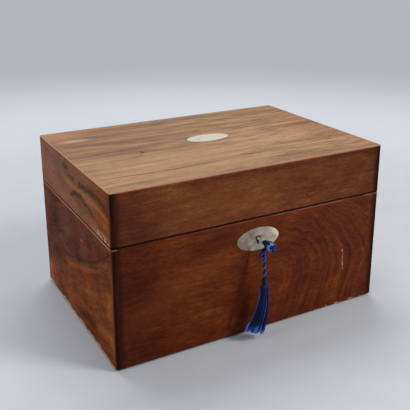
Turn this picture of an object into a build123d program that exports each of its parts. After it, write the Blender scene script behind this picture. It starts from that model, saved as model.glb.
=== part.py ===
from build123d import *
from math import cos, pi, radians, sin, tan
import os

# A veneered jewelry case with a hinged lid, a box lock with its key and tassel,
# and a lift-out tray. Millimetres. X runs to the right seen from the front, Y to
# the back and Z up. The origin is the middle of the face that the case rests on.

# Outside of the case
width = 300.0
depth = 208.0
height = 173.5
seam_height = 121.5
seam_gap = 0.3
corner_round = 1.8
edge_round = 1.5
rim_chamfer = 0.4

# Boards and veneers
board = 8.0
veneer = 1.0
top_board = 6.0
bottom_board = 6.0
bottom_rebate = 4.0
baize = 2.5
baize_inset = 2.0
strip_front = 5.5
strip_side = 3.5

# Dovetails that join the side walls to the front and back walls
base_tails = 5
lid_tails = 2
tail_half_width = 7.0
tail_flare = 1.2

# Pearl inlays and the keyhole
inlay_proud = 0.12
plaque_length = 49.0
plaque_breadth = 24.0
plaque_x = 5.5
plaque_y = 6.0
escutcheon_length = 47.4
escutcheon_breadth = 23.4
escutcheon_drop = 21.3
key_drop = 20.8
keyhole_radius = 2.9
slot_clearance = 0.4

# Box lock, let into the inner face of the front wall
lock_width = 62.0
lock_height = 30.0
lock_depth = 6.6
lock_plate = 1.2
lock_case_width = 50.0
lock_case_wall = 1.0
bolt_height = 5.2
bolt_above_key = 4.0
bolt_travel = 5.0
bolt_clearance = 0.4
finger_height = 2.2
finger_width = 2.0
finger_gap = 0.6
post_width = 2.6
bolt_end_gap = 1.3
eye_plate = 1.6
eye_width = 4.0
eye_wall = 0.9
eye_clearance = 0.3
eye_slot_clearance = 0.5
spring_strip = 0.4
spring_width = 2.4
spring_length = 11.0
spring_rise = 3.0
spring_gap = 0.1

# Key and the drill pin that it turns on
pin_radius = 1.0
pin_clearance = 0.06
shank_radius = 2.1
shank_clearance = 0.08
bit_reach = 5.5
bit_thickness = 2.0
neck_radius = 1.4
neck_start = 2.0
collar_radius = 2.3
collar_length = 2.0
collar_out = 8.0
bow_out = 20.0
bow_half_length = 6.0
bow_half_height = 3.7
bow_wire = 1.1
key_clearance = 0.5

# Silk tassel that hangs from the bow
hitch_out = 20.5
hitch_half_length = 9.0
hitch_radius = 4.2
tassel_out = 15.0
cord_diameter = 3.2
cord_route = [(-2.8, 95.0), (-2.0, 79.5), (-1.5, 64.1)]
knot_radius = 2.5
knot_length = 5.6
skirt_neck_radius = 2.3
skirt_shoulder = 4.2
skirt_shoulder_drop = 7.0
skirt_length = 49.6
skirt_half_spread = 12.0
skirt_tilt = 22.0
skirt_half_depth = 6.0
skirt_lean = 10.4

# Stop hinges
hinge_from_end = 38.0
hinge_length = 34.0
hinge_plate = 1.4
hinge_inset = 1.0
hinge_out = 1.4
barrel_radius = 2.2
barrel_clearance = 0.15
knuckles = 5
knuckle_gap = 0.1
hinge_pin_radius = 1.0
hinge_pin_clearance = 0.03
lid_stop = 95.0
stop_gap = 1.0
nose_reach = 5.4
nose_foot = 85.0

# Wood screws
screw_shank = 1.1
screw_head = 2.1
screw_countersink = 1.1
lock_screw_length = 5.0
hinge_screw_length = 9.0
hinge_screw_pitch = 11.0
hinge_screw_edge = 3.6
hinge_screws_per_leaf = 3

# Linings, pads and tray bearers
lining = 3.0
lip_height = 4.0
lip_clearance = 0.4
lip_round = 0.9
lid_lining = 2.5
lid_lining_gap = 1.3
lid_pad = 8.0
lid_pad_gap = 0.3
lid_pad_round = 3.0
floor_pad = 3.0
bearer_height = 5.0
bearer_width = 4.0

# Lift-out tray
tray_height = 26.0
tray_drop = 4.0
tray_clearance = 0.6
tray_wall = 5.0
tray_floor = 3.0
tray_round = 1.2
divider = 4.0
divider_height = 19.0
back_cell_depth = 66.4
back_cells = 3
front_end_cell = 90.4
tray_pad = 2.0
cell_gap = 0.3
ring_rolls = 6
ring_roll_radius = 6.6
tab_width = 14.0
tab_thickness = 0.8
tab_rise = 3.0
tab_depth = 14.0

# Places worked out from the sizes above
half_width = width / 2
half_depth = depth / 2
carcass_x = half_width - veneer
carcass_y = half_depth - veneer
inner_x = carcass_x - board
inner_y = carcass_y - board
rim = seam_height - seam_gap
lid_frame_top = height - veneer - top_board
floor_top = baize + bottom_board
key_z = seam_height - key_drop
keyhole_slot = bit_thickness + 1.5 * slot_clearance
seam_middle = seam_height - seam_gap / 2
hinge_y = half_depth + hinge_out
hinge_spread = half_width - hinge_from_end - hinge_length / 2


def block(x, y, z):
    """A square-cornered solid from its low and high x, y and z."""
    sizes = [high - low for low, high in (x, y, z)]
    middle = [(low + high) / 2 for low, high in (x, y, z)]
    return Pos(*middle) * Box(*sizes)


def rod(start, end, radius):
    """A round bar between two points."""
    start, end = Vector(*start), Vector(*end)
    return extrude(Plane(origin=start, z_dir=end - start) * Circle(radius), amount=(end - start).length)


def mirrored_x(solid):
    return mirror(solid, about=Plane.YZ)


def mirrored_y(solid):
    return mirror(solid, about=Plane.XZ)


def group(solids):
    """Several separate solids that are handled as one piece."""
    return Compound([part for solid in solids for part in solid.solids()])


def both(low, high):
    """The span from -size to size, or one span and its mirror image."""
    return [(low, high), (-high, -low)]


# Outer forms that the walls, veneers and corner strips are trimmed to

def base_form():
    form = block((-half_width, half_width), (-half_depth, half_depth), (baize, rim))
    form = fillet(form.edges().filter_by(Axis.Z), corner_round)
    return chamfer(form.faces().sort_by(Axis.Z)[-1].edges(), rim_chamfer)


def lid_form():
    form = block((-half_width, half_width), (-half_depth, half_depth), (seam_height, height))
    form = fillet(form.edges().filter_by(Axis.Z), corner_round)
    form = fillet(form.faces().sort_by(Axis.Z)[-1].edges(), min(edge_round, 0.9 * corner_round))
    return chamfer(form.faces().sort_by(Axis.Z)[0].edges(), rim_chamfer)


def corner_blocks(z):
    """The square stock of the four corner strips."""
    x_spans = both(half_width - strip_front, half_width)
    y_spans = both(half_depth - strip_side, half_depth)
    return [block(x, y, z) for x in x_spans for y in y_spans]


def corner_strips(form, z):
    return group([stock & form for stock in corner_blocks(z)])


# Walls

def tails(z, count):
    """The dovetails at the front end of the left wall, spaced over its height."""
    low, high = z
    pitch = (high - low) / count
    half = min(tail_half_width, pitch / 2 - 2 * tail_flare)
    cut = []
    for number in range(count):
        middle = low + pitch * (number + 0.5)
        outline = Polygon(
            (-inner_y, middle - half),
            (-carcass_y, middle - half - tail_flare),
            (-carcass_y, middle + half + tail_flare),
            (-inner_y, middle + half),
            align=None,
        )
        cut.append(extrude(Plane.YZ.offset(-carcass_x) * outline, amount=board, dir=(1, 0, 0)))
    return cut


def wall_set(z, count, form):
    """Front, back, left and right walls of one box, dovetailed at the corners."""
    ends = tails(z, count)
    left = block((-carcass_x, -inner_x), (-inner_y, inner_y), z)
    front = block((-carcass_x, carcass_x), (-carcass_y, -inner_y), z)
    for tail in ends:
        left += tail
        left += mirrored_y(tail)
        front -= tail
        front -= mirrored_x(tail)
    for stock in corner_blocks(z):
        left -= stock
        front -= stock
    left = left & form
    front = front & form
    return front, mirrored_y(front), left, mirrored_x(left)


def veneer_set(z, form):
    """Front, back, left and right veneers, which stop at the corner strips."""
    x_end = half_width - strip_front
    y_end = half_depth - strip_side
    front = block((-x_end, x_end), (-half_depth, -carcass_y), z) & form
    left = block((-half_width, -carcass_x), (-y_end, y_end), z) & form
    return front, mirrored_y(front), left, mirrored_x(left)


# Pearl inlays and the keyhole

def oval(length, breadth):
    return Ellipse(length / 2, breadth / 2)


def plaque():
    seat = Plane(origin=(plaque_x, plaque_y, height - veneer))
    return extrude(seat * oval(plaque_length, plaque_breadth), amount=veneer + inlay_proud)


def front_plane(y, x=0.0, z=0.0):
    """A sketch plane that faces the front, with X to the right and Z up."""
    return Plane(origin=(x, y, z), x_dir=(1, 0, 0), z_dir=(0, -1, 0))


def keyway(start_y, end_y, radius=keyhole_radius):
    """The keyhole's round and the slot for the bit, cut from one depth to another."""
    slot_low = bit_reach + slot_clearance
    outline = Circle(radius) + Pos(0, -slot_low / 2) * Rectangle(keyhole_slot, slot_low)
    return extrude(front_plane(start_y, z=key_z) * outline, amount=start_y - end_y)


def escutcheon_blank(proud):
    seat = front_plane(-carcass_y, z=seam_height - escutcheon_drop)
    return extrude(seat * oval(escutcheon_length, escutcheon_breadth), amount=veneer + proud)


def escutcheon():
    return escutcheon_blank(inlay_proud) - keyway(-inner_y, -half_depth - inlay_proud)


# Screws

def screw(head, direction, length):
    """A countersunk screw: the middle of its head, the way it points and its length."""
    head, direction = Vector(*head), Vector(*direction)
    seat = Plane(origin=head, z_dir=direction)
    cone = Cone(screw_head, screw_shank, screw_countersink, align=(Align.CENTER, Align.CENTER, Align.MIN))
    tip_length = 2 * screw_shank
    shank_length = length - screw_countersink - tip_length
    shank = Pos(0, 0, screw_countersink) * Cylinder(
        screw_shank, shank_length, align=(Align.CENTER, Align.CENTER, Align.MIN)
    )
    tip = Pos(0, 0, length - tip_length) * Cone(
        screw_shank, 0, tip_length, align=(Align.CENTER, Align.CENTER, Align.MIN)
    )
    return seat.location * (cone + shank + tip)


# Box lock

lock_back = -inner_y
lock_front = lock_back - lock_depth
works_back = lock_back - lock_plate
works_front = lock_front + lock_case_wall
works_middle = (works_back + works_front) / 2
selvedge_under = rim - lock_plate
bolt_low = key_z + bolt_above_key
bolt_high = bolt_low + bolt_height
finger_high = selvedge_under - bolt_clearance - eye_wall
finger_low = finger_high - finger_height
eye_low = finger_low - eye_clearance - eye_wall
works_floor = rim - lock_height + lock_plate + lock_case_wall
lock_case_spans = (
    (-lock_case_width / 2, lock_case_width / 2),
    (lock_front, works_back),
    (rim - lock_height + lock_plate, selvedge_under),
)
finger_back = post_width + bolt_travel - eye_clearance + finger_gap + eye_plate / 2
eye_spread = lock_case_width / 2 - lock_case_wall - bolt_end_gap - finger_back
eye_middles = [-eye_spread, eye_spread]


def lock_screws():
    """Two screws at each end of the back plate."""
    x_side = (lock_width + lock_case_width) / 4
    rows = [rim - lock_height / 4, rim - 3 * lock_height / 4]
    return [
        screw((side * x_side, lock_back, z), (0, -1, 0), lock_screw_length)
        for side in (-1, 1)
        for z in rows
    ]


def lock_envelope():
    """The room that the lock takes in the front wall."""
    half = lock_width / 2
    plate = block((-half, half), (works_back, lock_back), (rim - lock_height, rim))
    selvedge = block((-half, half), (lock_front, lock_back), (selvedge_under, rim))
    return plate + selvedge + block(*lock_case_spans)


def lock_back_plate(screws):
    """The plate on the inside, with the selvedge that closes the lock's top."""
    half = lock_width / 2
    plate = block((-half, half), (works_back, lock_back), (rim - lock_height, rim))
    plate += block((-half, half), (lock_front, lock_back), (selvedge_under, rim))
    for middle in eye_middles:
        reach = eye_plate / 2 + eye_slot_clearance
        depth_reach = eye_width / 2 + eye_slot_clearance
        plate -= block(
            (middle - reach, middle + reach),
            (max(works_middle - depth_reach, works_front), min(works_middle + depth_reach, works_back)),
            (selvedge_under - 1, rim + 1),
        )
    plate -= rod((0, works_back - 1, key_z), (0, lock_back + 1, key_z), pin_radius)
    for one in screws:
        plate -= one
    return plate


def lock_cap():
    """The case that holds the bolt, with a hole for the key in its front."""
    cap = block(*lock_case_spans)
    half = lock_case_width / 2 - lock_case_wall
    cap -= block((-half, half), (works_front, works_back + 1), (works_floor, selvedge_under + 1))
    cap -= keyway(works_front + 1, lock_front - 1, shank_radius + shank_clearance)
    return cap


def lock_drill_pin():
    return rod((0, lock_back, key_z), (0, works_front + lock_case_wall / 4, key_z), pin_radius)


def lock_bolt():
    """A bar with two fingers, notched above the key so that the bit can turn."""
    y = (works_middle - finger_width / 2, works_middle + finger_width / 2)
    fingers = []
    for middle in eye_middles:
        tip = middle - eye_plate / 2 - finger_gap
        root = tip - bolt_travel + eye_clearance
        fingers.append((root - post_width, root, tip))
    bar = block((fingers[0][0], fingers[-1][1] + post_width), y, (bolt_low, bolt_high))
    for back, root, tip in fingers:
        bar += block((back, root), y, (bolt_high, finger_high))
        bar += block((back, tip), y, (finger_low, finger_high))
    sweep = bit_reach + bolt_clearance
    notch = Pos(-bolt_travel / 2, 0) * SlotCenterToCenter(bolt_travel, 2 * sweep)
    return bar - extrude(front_plane(lock_back, z=key_z) * notch, amount=lock_depth)


def lock_bolt_spring():
    """A bent strip fixed to the lock's left end, which presses up under the bolt."""
    wall = -lock_case_width / 2 + lock_case_wall
    foot = Vector(wall + spring_strip / 2, works_floor + spring_rise)
    tip = Vector(wall + spring_length, bolt_low - spring_gap - spring_strip / 2)
    bend = Vector(wall + spring_length * 0.45, foot.Y + (tip.Y - foot.Y) * 0.75)
    outline = trace(ThreePointArc(foot, bend, tip), spring_strip)
    return extrude(front_plane(works_middle + spring_width / 2) * outline, amount=spring_width)


def link_plate_screws():
    x_side = (lock_width + 2 * eye_spread) / 4
    return [
        screw((side * x_side, works_middle, seam_height), (0, 0, 1), hinge_screw_length) for side in (-1, 1)
    ]


def link_plate_blank():
    half = lock_width / 2
    return block((-half, half), (lock_front, lock_back), (seam_height, seam_height + lock_plate))


def link_plate(screws):
    """The plate under the lid's front edge, with the two eyes that the bolt catches."""
    link = link_plate_blank()
    for middle in eye_middles:
        x = (middle - eye_plate / 2, middle + eye_plate / 2)
        y = (works_middle - eye_width / 2, works_middle + eye_width / 2)
        link += block(x, y, (eye_low, seam_height))
        hole_y = (works_middle - finger_width / 2 - eye_clearance, works_middle + finger_width / 2 + eye_clearance)
        link -= block(x, hole_y, (finger_low - eye_clearance, finger_high + eye_clearance))
    for one in screws:
        link -= one
    return link


# Key, made in one piece

def key():
    """A pipe key: hollow shank, bit, thinner neck with a collar, and a small oval bow."""
    inside = works_back - key_clearance
    face = -half_depth
    bow_middle = face - bow_out
    neck_end = bow_middle + bow_half_length - bow_wire
    shank = rod((0, inside, key_z), (0, face + neck_start, key_z), shank_radius)
    shank += rod((0, face + neck_start, key_z), (0, neck_end, key_z), neck_radius)
    shank += rod(
        (0, face - collar_out, key_z), (0, face - collar_out - collar_length, key_z), collar_radius
    )
    bit_front = works_front + key_clearance
    bit = block(
        (-bit_thickness / 2, bit_thickness / 2), (bit_front, inside), (key_z - bit_reach, key_z)
    )
    shank += bit
    shank -= rod((0, inside + 1, key_z), (0, works_front - lock_case_wall, key_z), pin_radius + pin_clearance)
    bow_plane = Plane(origin=(-bow_wire, bow_middle, key_z), x_dir=(0, 1, 0), z_dir=(1, 0, 0))
    ring = Ellipse(bow_half_length, bow_half_height)
    ring -= Ellipse(bow_half_length - 2 * bow_wire, bow_half_height - 2 * bow_wire)
    bow = extrude(bow_plane * ring, amount=2 * bow_wire)
    return shank + bow


# Silk tassel

tassel_y = -half_depth - tassel_out


def tassel_hitch(key_solid):
    """The wraps of silk round the bow, which turn with the key."""
    middle = -half_depth - hitch_out
    profile = Ellipse(hitch_half_length, hitch_radius)
    profile &= Pos(0, hitch_radius) * Rectangle(4 * hitch_half_length, 2 * hitch_radius)
    axis_plane = Plane(origin=(0, middle, key_z), x_dir=(0, 1, 0), z_dir=(1, 0, 0))
    axis = Axis((0, middle, key_z), (0, 1, 0))
    return revolve(axis_plane * profile, axis) - key_solid


def cord_points():
    return [Vector(x, tassel_y, z) for x, z in cord_route]


def cord_radii():
    """Each arc is as large as the two runs beside it allow."""
    points = cord_points()
    radii = []
    for before, corner, after in zip(points, points[1:], points[2:]):
        runs = [corner - before, after - corner]
        turn = radians(runs[0].get_angle(runs[1]))
        radii.append(0.45 * min(run.length for run in runs) / tan(turn / 2))
    return radii


def cord_path():
    """The route of the twisted cord, as straight runs joined by tangent arcs."""
    return FilletPolyline(*cord_points(), radius=cord_radii())


def tassel_cord():
    path = cord_path()
    print("cord radii", [round(radius, 1) for radius in cord_radii()])
    start = Plane(origin=path @ 0, z_dir=path % 0)
    cord = sweep(start * Circle(cord_diameter / 2), path=path)
    print("cord length", round(path.length, 1), "volume ratio",
          round(cord.volume / (pi * cord_diameter**2 / 4 * path.length), 4))
    return cord


def knot_line():
    """The top of the bound knot, and the way that the cord points there."""
    path = cord_path()
    return path @ 1, path % 1


def tassel_band():
    """The bound knot at the head of the tassel."""
    top, way = knot_line()
    band = rod(top, top + way * knot_length, knot_radius)
    return fillet(band.edges(), 0.3 * min(knot_length, knot_radius))


def tassel_skirt():
    """The threads below the knot, which flare towards the left."""
    top, way = knot_line()
    neck = top + way * knot_length
    sections = [Plane(origin=neck, x_dir=(1, 0, 0), z_dir=way) * Circle(skirt_neck_radius)]
    rings = [
        (skirt_shoulder_drop, 0.02, 0, skirt_shoulder, skirt_shoulder),
        (skirt_length * 0.55, 0.3, skirt_tilt * 0.4, skirt_half_spread * 0.52, skirt_half_depth * 0.8),
        (skirt_length, 1.0, skirt_tilt, skirt_half_spread, skirt_half_depth),
    ]
    for drop, lean_share, tilt_degrees, half_spread, half_deep in rings:
        centre = neck - Vector(skirt_lean * lean_share, 0, drop)
        tilt = radians(tilt_degrees)
        seat = Plane(origin=centre, x_dir=(cos(tilt), 0, -sin(tilt)), z_dir=(-sin(tilt), 0, -cos(tilt)))
        sections.append(seat * Ellipse(half_spread, half_deep))
    return loft(sections)


# Stop hinges

def knuckle_spans(x_middle, is_lid):
    """The lengths of barrel that belong to the lid's leaf or to the base's leaf."""
    pitch = hinge_length / knuckles
    spans = []
    for number in range(knuckles):
        if (number % 2 == 1) == is_lid:
            start = x_middle - hinge_length / 2 + number * pitch
            spans.append((start + knuckle_gap / 2, start + pitch - knuckle_gap / 2))
    return spans


def barrel_axis(x_span, radius):
    return rod((x_span[0], hinge_y, seam_middle), (x_span[1], hinge_y, seam_middle), radius)


def hinge_channel(x_middle, clearance):
    """The hollow that the barrel turns in."""
    reach = hinge_length / 2 + clearance
    return barrel_axis((x_middle - reach, x_middle + reach), barrel_radius + clearance)


def leaf_plate(x_middle, is_lid):
    z = (seam_height, seam_height + hinge_plate) if is_lid else (rim - hinge_plate, rim)
    x = (x_middle - hinge_length / 2, x_middle + hinge_length / 2)
    return block(x, (inner_y + hinge_inset, hinge_y), z)


def nose(x_span, inner_radius, is_lid):
    """The stop behind the barrel, whose flat meets the other leaf's at the stop angle."""
    sign = 1 if is_lid else -1
    flat = radians(lid_stop / 2 + stop_gap / 2)
    foot = radians(nose_foot)
    corners = [(inner_radius, flat), (nose_reach, flat), (nose_reach, foot), (inner_radius, foot)]
    outline = Polygon(
        *[(hinge_y + radius * cos(angle), seam_middle + sign * radius * sin(angle)) for radius, angle in corners],
        align=None,
    )
    return extrude(Plane.YZ.offset(x_span[0]) * outline, amount=x_span[1] - x_span[0], dir=(1, 0, 0))


def hinge_screws(x_middle, is_lid):
    y = inner_y + hinge_inset + hinge_screw_edge
    z, way = (seam_height, 1) if is_lid else (rim, -1)
    offsets = [number - (hinge_screws_per_leaf - 1) / 2 for number in range(hinge_screws_per_leaf)]
    return [
        screw((x_middle + offset * hinge_screw_pitch, y, z), (0, 0, way), hinge_screw_length)
        for offset in offsets
    ]


def hinge_leaf_solid(x_middle, is_lid):
    """One leaf with its knuckles, and the stop nose behind them."""
    plate = leaf_plate(x_middle, is_lid)
    leaf = plate - hinge_channel(x_middle, barrel_clearance)
    whole = (x_middle - hinge_length / 2, x_middle + hinge_length / 2)
    leaf += nose(whole, barrel_radius + barrel_clearance, is_lid)
    for span in knuckle_spans(x_middle, is_lid):
        leaf += barrel_axis(span, barrel_radius)
        leaf += plate & block(span, (carcass_y - board / 2, hinge_y), (rim - hinge_plate, seam_height + hinge_plate))
        leaf += nose(span, barrel_radius / 2, is_lid)
    leaf -= barrel_axis(whole, hinge_pin_radius + hinge_pin_clearance)
    for one in hinge_screws(x_middle, is_lid):
        leaf -= one
    return leaf


def hinge_pin(x_middle):
    return barrel_axis((x_middle - hinge_length / 2, x_middle + hinge_length / 2), hinge_pin_radius)


# Linings and pads

def lip_relief():
    """What is taken off the linings above the rim, so that the lid closes round them."""
    z = (rim, rim + lip_height + 1)
    ring = block((-inner_x, inner_x), (-inner_y, inner_y), z)
    x, y = inner_x - lip_clearance, inner_y - lip_clearance
    return ring - block((-x, x), (-y, y), z)


def base_linings():
    """Front, back, left and right linings, which stand above the rim as a lip."""
    z = (floor_top, rim + lip_height)
    relief = lip_relief()
    front = block((-inner_x, inner_x), (-inner_y, -inner_y + lining), z) - relief
    left = block((-inner_x, -inner_x + lining), (-inner_y + lining, inner_y - lining), z) - relief
    rounding = min(lip_round, 0.35 * (lining - lip_clearance))
    front = fillet(front.faces().sort_by(Axis.Z)[-1].edges().filter_by(Axis.X), rounding)
    left = fillet(left.faces().sort_by(Axis.Z)[-1].edges().filter_by(Axis.Y), rounding)
    return front, mirrored_y(front), left, mirrored_x(left)


def base_floor_pad():
    x, y = inner_x - lining, inner_y - lining
    pad = block((-x, x), (-y, y), (floor_top, floor_top + floor_pad))
    return fillet(pad.faces().sort_by(Axis.Z)[-1].edges(), floor_pad / 2)


def lid_linings():
    z = (rim + lip_height + lid_lining_gap, lid_frame_top)
    front = block((-inner_x, inner_x), (-inner_y, -inner_y + lid_lining), z)
    left = block((-inner_x, -inner_x + lid_lining), (-inner_y + lid_lining, inner_y - lid_lining), z)
    return group([front, mirrored_y(front), left, mirrored_x(left)])


def lid_cushion():
    x, y = inner_x - lid_lining - lid_pad_gap, inner_y - lid_lining - lid_pad_gap
    pad = block((-x, x), (-y, y), (lid_frame_top - lid_pad, lid_frame_top))
    return fillet(pad.faces().sort_by(Axis.Z)[0].edges(), min(lid_pad_round, 0.45 * lid_pad))


# Lift-out tray

tray_top = rim - tray_drop
tray_bottom = tray_top - tray_height
tray_x = inner_x - lining - tray_clearance
tray_y = inner_y - lining - tray_clearance
cell_x = tray_x - tray_wall
cell_y = tray_y - tray_wall
cell_floor = tray_bottom + tray_floor
pad_top = cell_floor + tray_pad
divider_top = cell_floor + divider_height
cross_divider_y = cell_y - back_cell_depth - divider / 2
front_cell_edge = cell_x - front_end_cell - divider / 2
roll_cell_x = (front_cell_edge + divider / 2, cell_x)
front_cell_y = (-cell_y, cross_divider_y - divider / 2)
back_cell_y = (cross_divider_y + divider / 2, cell_y)


def tray_bearers():
    """Strips on the side linings that the tray rests on."""
    x = inner_x - lining
    y = inner_y - lining
    strip = block((-x, -x + bearer_width), (-y, y), (tray_bottom - bearer_height, tray_bottom))
    return group([strip, mirrored_x(strip)])


def tray_walls():
    z = (tray_bottom, tray_top)
    front = block((-tray_x, tray_x), (-tray_y, -cell_y), z)
    left = block((-tray_x, -cell_x), (-cell_y, cell_y), z)
    front = fillet(front.faces().sort_by(Axis.Z)[-1].edges().filter_by(Axis.X), tray_round)
    left = fillet(left.faces().sort_by(Axis.Z)[-1].edges().filter_by(Axis.Y), tray_round)
    return group([front, mirrored_y(front), left, mirrored_x(left)])


def tray_bottom_panel():
    return block((-cell_x, cell_x), (-cell_y, cell_y), (tray_bottom, cell_floor))


def back_divider_middles():
    pitch = (2 * cell_x + divider) / back_cells
    return [-cell_x - divider / 2 + pitch * number for number in range(1, back_cells)]


def tray_dividers():
    """One divider along the tray, and the short ones that meet it."""
    z = (cell_floor, divider_top)
    half = divider / 2
    bars = [block((-cell_x, cell_x), (cross_divider_y - half, cross_divider_y + half), z)]
    for middle in back_divider_middles():
        bars.append(block((middle - half, middle + half), back_cell_y, z))
    for middle in (-front_cell_edge, front_cell_edge):
        bars.append(block((middle - half, middle + half), front_cell_y, z))
    return group(bars)


def open_cells():
    """The x and y spans of the cells with a flat pad."""
    half = divider / 2
    edges = [-cell_x - half, *back_divider_middles(), cell_x + half]
    back = [((a + half, b - half), back_cell_y) for a, b in zip(edges, edges[1:])]
    front = [
        ((-cell_x, -front_cell_edge - half), front_cell_y),
        ((-front_cell_edge + half, front_cell_edge - half), front_cell_y),
    ]
    return back + front


def shrunk(span, gap):
    return span[0] + gap, span[1] - gap


def tray_pads():
    return group(
        [
            block(shrunk(x, cell_gap), shrunk(y, cell_gap), (cell_floor, pad_top))
            for x, y in open_cells()
        ]
    )


def ring_roll_pitch():
    return (front_cell_y[1] - front_cell_y[0]) / ring_rolls


def tray_ring_rolls():
    """Velvet rolls that grip rings, side by side in the right front cell."""
    radius = min(ring_roll_radius, ring_roll_pitch() / 2 - cell_gap)
    x = shrunk(roll_cell_x, cell_gap)
    rolls = []
    for number in range(ring_rolls):
        y = front_cell_y[0] + ring_roll_pitch() * (number + 0.5)
        z = cell_floor + radius
        rolls.append(rod((x[0], y, z), (x[1], y, z), radius))
    return group(rolls)


def tray_lift_tabs():
    """Ribbon tabs at the two ends, to lift the tray by."""
    strip = block(
        (-cell_x, -cell_x + tab_thickness),
        (cross_divider_y + divider, cross_divider_y + divider + tab_width),
        (tray_top - tab_depth, tray_top + tab_rise),
    )
    return group([strip, mirrored_x(strip)])


# All of the pieces together

def make_case():
    parts = {}
    base_outer = base_form()
    lid_outer = lid_form()
    base_z = (baize, rim)
    lid_z = (seam_height, lid_frame_top)
    lid_skin_z = (seam_height, height - veneer)

    bottom = block(
        (-inner_x - bottom_rebate, inner_x + bottom_rebate),
        (-inner_y - bottom_rebate, inner_y + bottom_rebate),
        (baize, floor_top),
    )
    parts["base_bottom_board"] = bottom
    parts["base_baize"] = block(
        (-half_width + baize_inset, half_width - baize_inset),
        (-half_depth + baize_inset, half_depth - baize_inset),
        (0, baize),
    )

    base_walls = wall_set(base_z, base_tails, base_outer)
    lid_walls = wall_set(lid_z, lid_tails, lid_outer)
    base_skins = veneer_set(base_z, base_outer)
    lid_skins = veneer_set(lid_skin_z, lid_outer)
    sides = ("front", "back", "left", "right")
    for side, wall, skin in zip(sides, base_walls, base_skins):
        parts[f"base_{side}_board"] = wall - bottom
        parts[f"base_{side}_veneer"] = skin
    for side, wall, skin in zip(sides, lid_walls, lid_skins):
        parts[f"lid_{side}_board"] = wall
        parts[f"lid_{side}_veneer"] = skin
    for side, panel in zip(sides, base_linings()):
        parts[f"base_lining_{side}"] = panel
    parts["base_corner_strips"] = corner_strips(base_outer, base_z)
    parts["lid_corner_strips"] = corner_strips(lid_outer, lid_skin_z)

    top = block((-carcass_x, carcass_x), (-carcass_y, carcass_y), (lid_frame_top, height - veneer))
    for stock in corner_blocks(lid_skin_z):
        top -= stock
    parts["lid_top_board"] = top
    top_skin = block((-half_width, half_width), (-half_depth, half_depth), (height - veneer, height))
    parts["lid_plaque"] = plaque()
    parts["lid_top_veneer"] = (top_skin & lid_outer) - parts["lid_plaque"]

    fixings = lock_screws()
    parts["lock_screws"] = group(fixings)
    parts["lock_back_plate"] = lock_back_plate(fixings)
    parts["lock_cap"] = lock_cap()
    parts["lock_drill_pin"] = lock_drill_pin()
    parts["lock_bolt"] = lock_bolt()
    parts["lock_bolt_spring"] = lock_bolt_spring()
    front = parts["base_front_board"] - lock_envelope() - keyway(lock_front + 1, -half_depth)
    for one in fixings:
        front -= one
    parts["base_front_board"] = front
    parts["base_front_veneer"] -= escutcheon_blank(0)
    parts["escutcheon"] = escutcheon()

    link_fixings = link_plate_screws()
    parts["link_plate_screws"] = group(link_fixings)
    parts["link_plate"] = link_plate(link_fixings)
    lid_front = parts["lid_front_board"] - link_plate_blank()
    for one in link_fixings:
        lid_front -= one
    parts["lid_front_board"] = lid_front

    all_hinge_screws = {False: [], True: []}
    pins = []
    for name, x_middle in (("left", -hinge_spread), ("right", hinge_spread)):
        pins.append(hinge_pin(x_middle))
        for half, is_lid in (("base", False), ("lid", True)):
            parts[f"hinge_{name}_{half}_leaf"] = hinge_leaf_solid(x_middle, is_lid)
            cuts = [leaf_plate(x_middle, is_lid), hinge_channel(x_middle, 2 * barrel_clearance)]
            here = hinge_screws(x_middle, is_lid)
            all_hinge_screws[is_lid] += here
            for cut in cuts + here:
                parts[f"{half}_back_board"] -= cut
            for cut in cuts:
                parts[f"{half}_back_veneer"] -= cut
    parts["hinge_pins"] = group(pins)
    parts["hinge_base_screws"] = group(all_hinge_screws[False])
    parts["hinge_lid_screws"] = group(all_hinge_screws[True])

    parts["base_floor_pad"] = base_floor_pad()
    parts["lid_wall_linings"] = lid_linings()
    parts["lid_pad"] = lid_cushion()

    parts["key"] = key()
    parts["tassel_hitch"] = tassel_hitch(parts["key"])
    parts["tassel_cord"] = tassel_cord()
    parts["tassel_band"] = tassel_band()
    parts["tassel_skirt"] = tassel_skirt()

    parts["tray_bearers"] = tray_bearers()
    parts["tray_walls"] = tray_walls()
    parts["tray_bottom"] = tray_bottom_panel()
    parts["tray_dividers"] = tray_dividers()
    parts["tray_pads"] = tray_pads()
    parts["tray_ring_rolls"] = tray_ring_rolls()
    parts["tray_lift_tabs"] = tray_lift_tabs()
    return parts


os.makedirs("parts", exist_ok=True)
pieces = make_case()
for node, solid in pieces.items():
    export_step(solid, f"parts/{node}.step")
print(len(pieces), "pieces")
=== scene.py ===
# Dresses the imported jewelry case: camera, floor and lamps, the silk tassel, the soft linings,
# and materials for wood, pearl, metal and cloth. Sizes are written in millimetres of the
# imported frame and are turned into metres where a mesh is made. Colours are screen colours
# from 0 to 255.

import math
import random
from functools import partialmethod, reduce

import bpy
from mathutils import Matrix, Vector, noise


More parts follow.
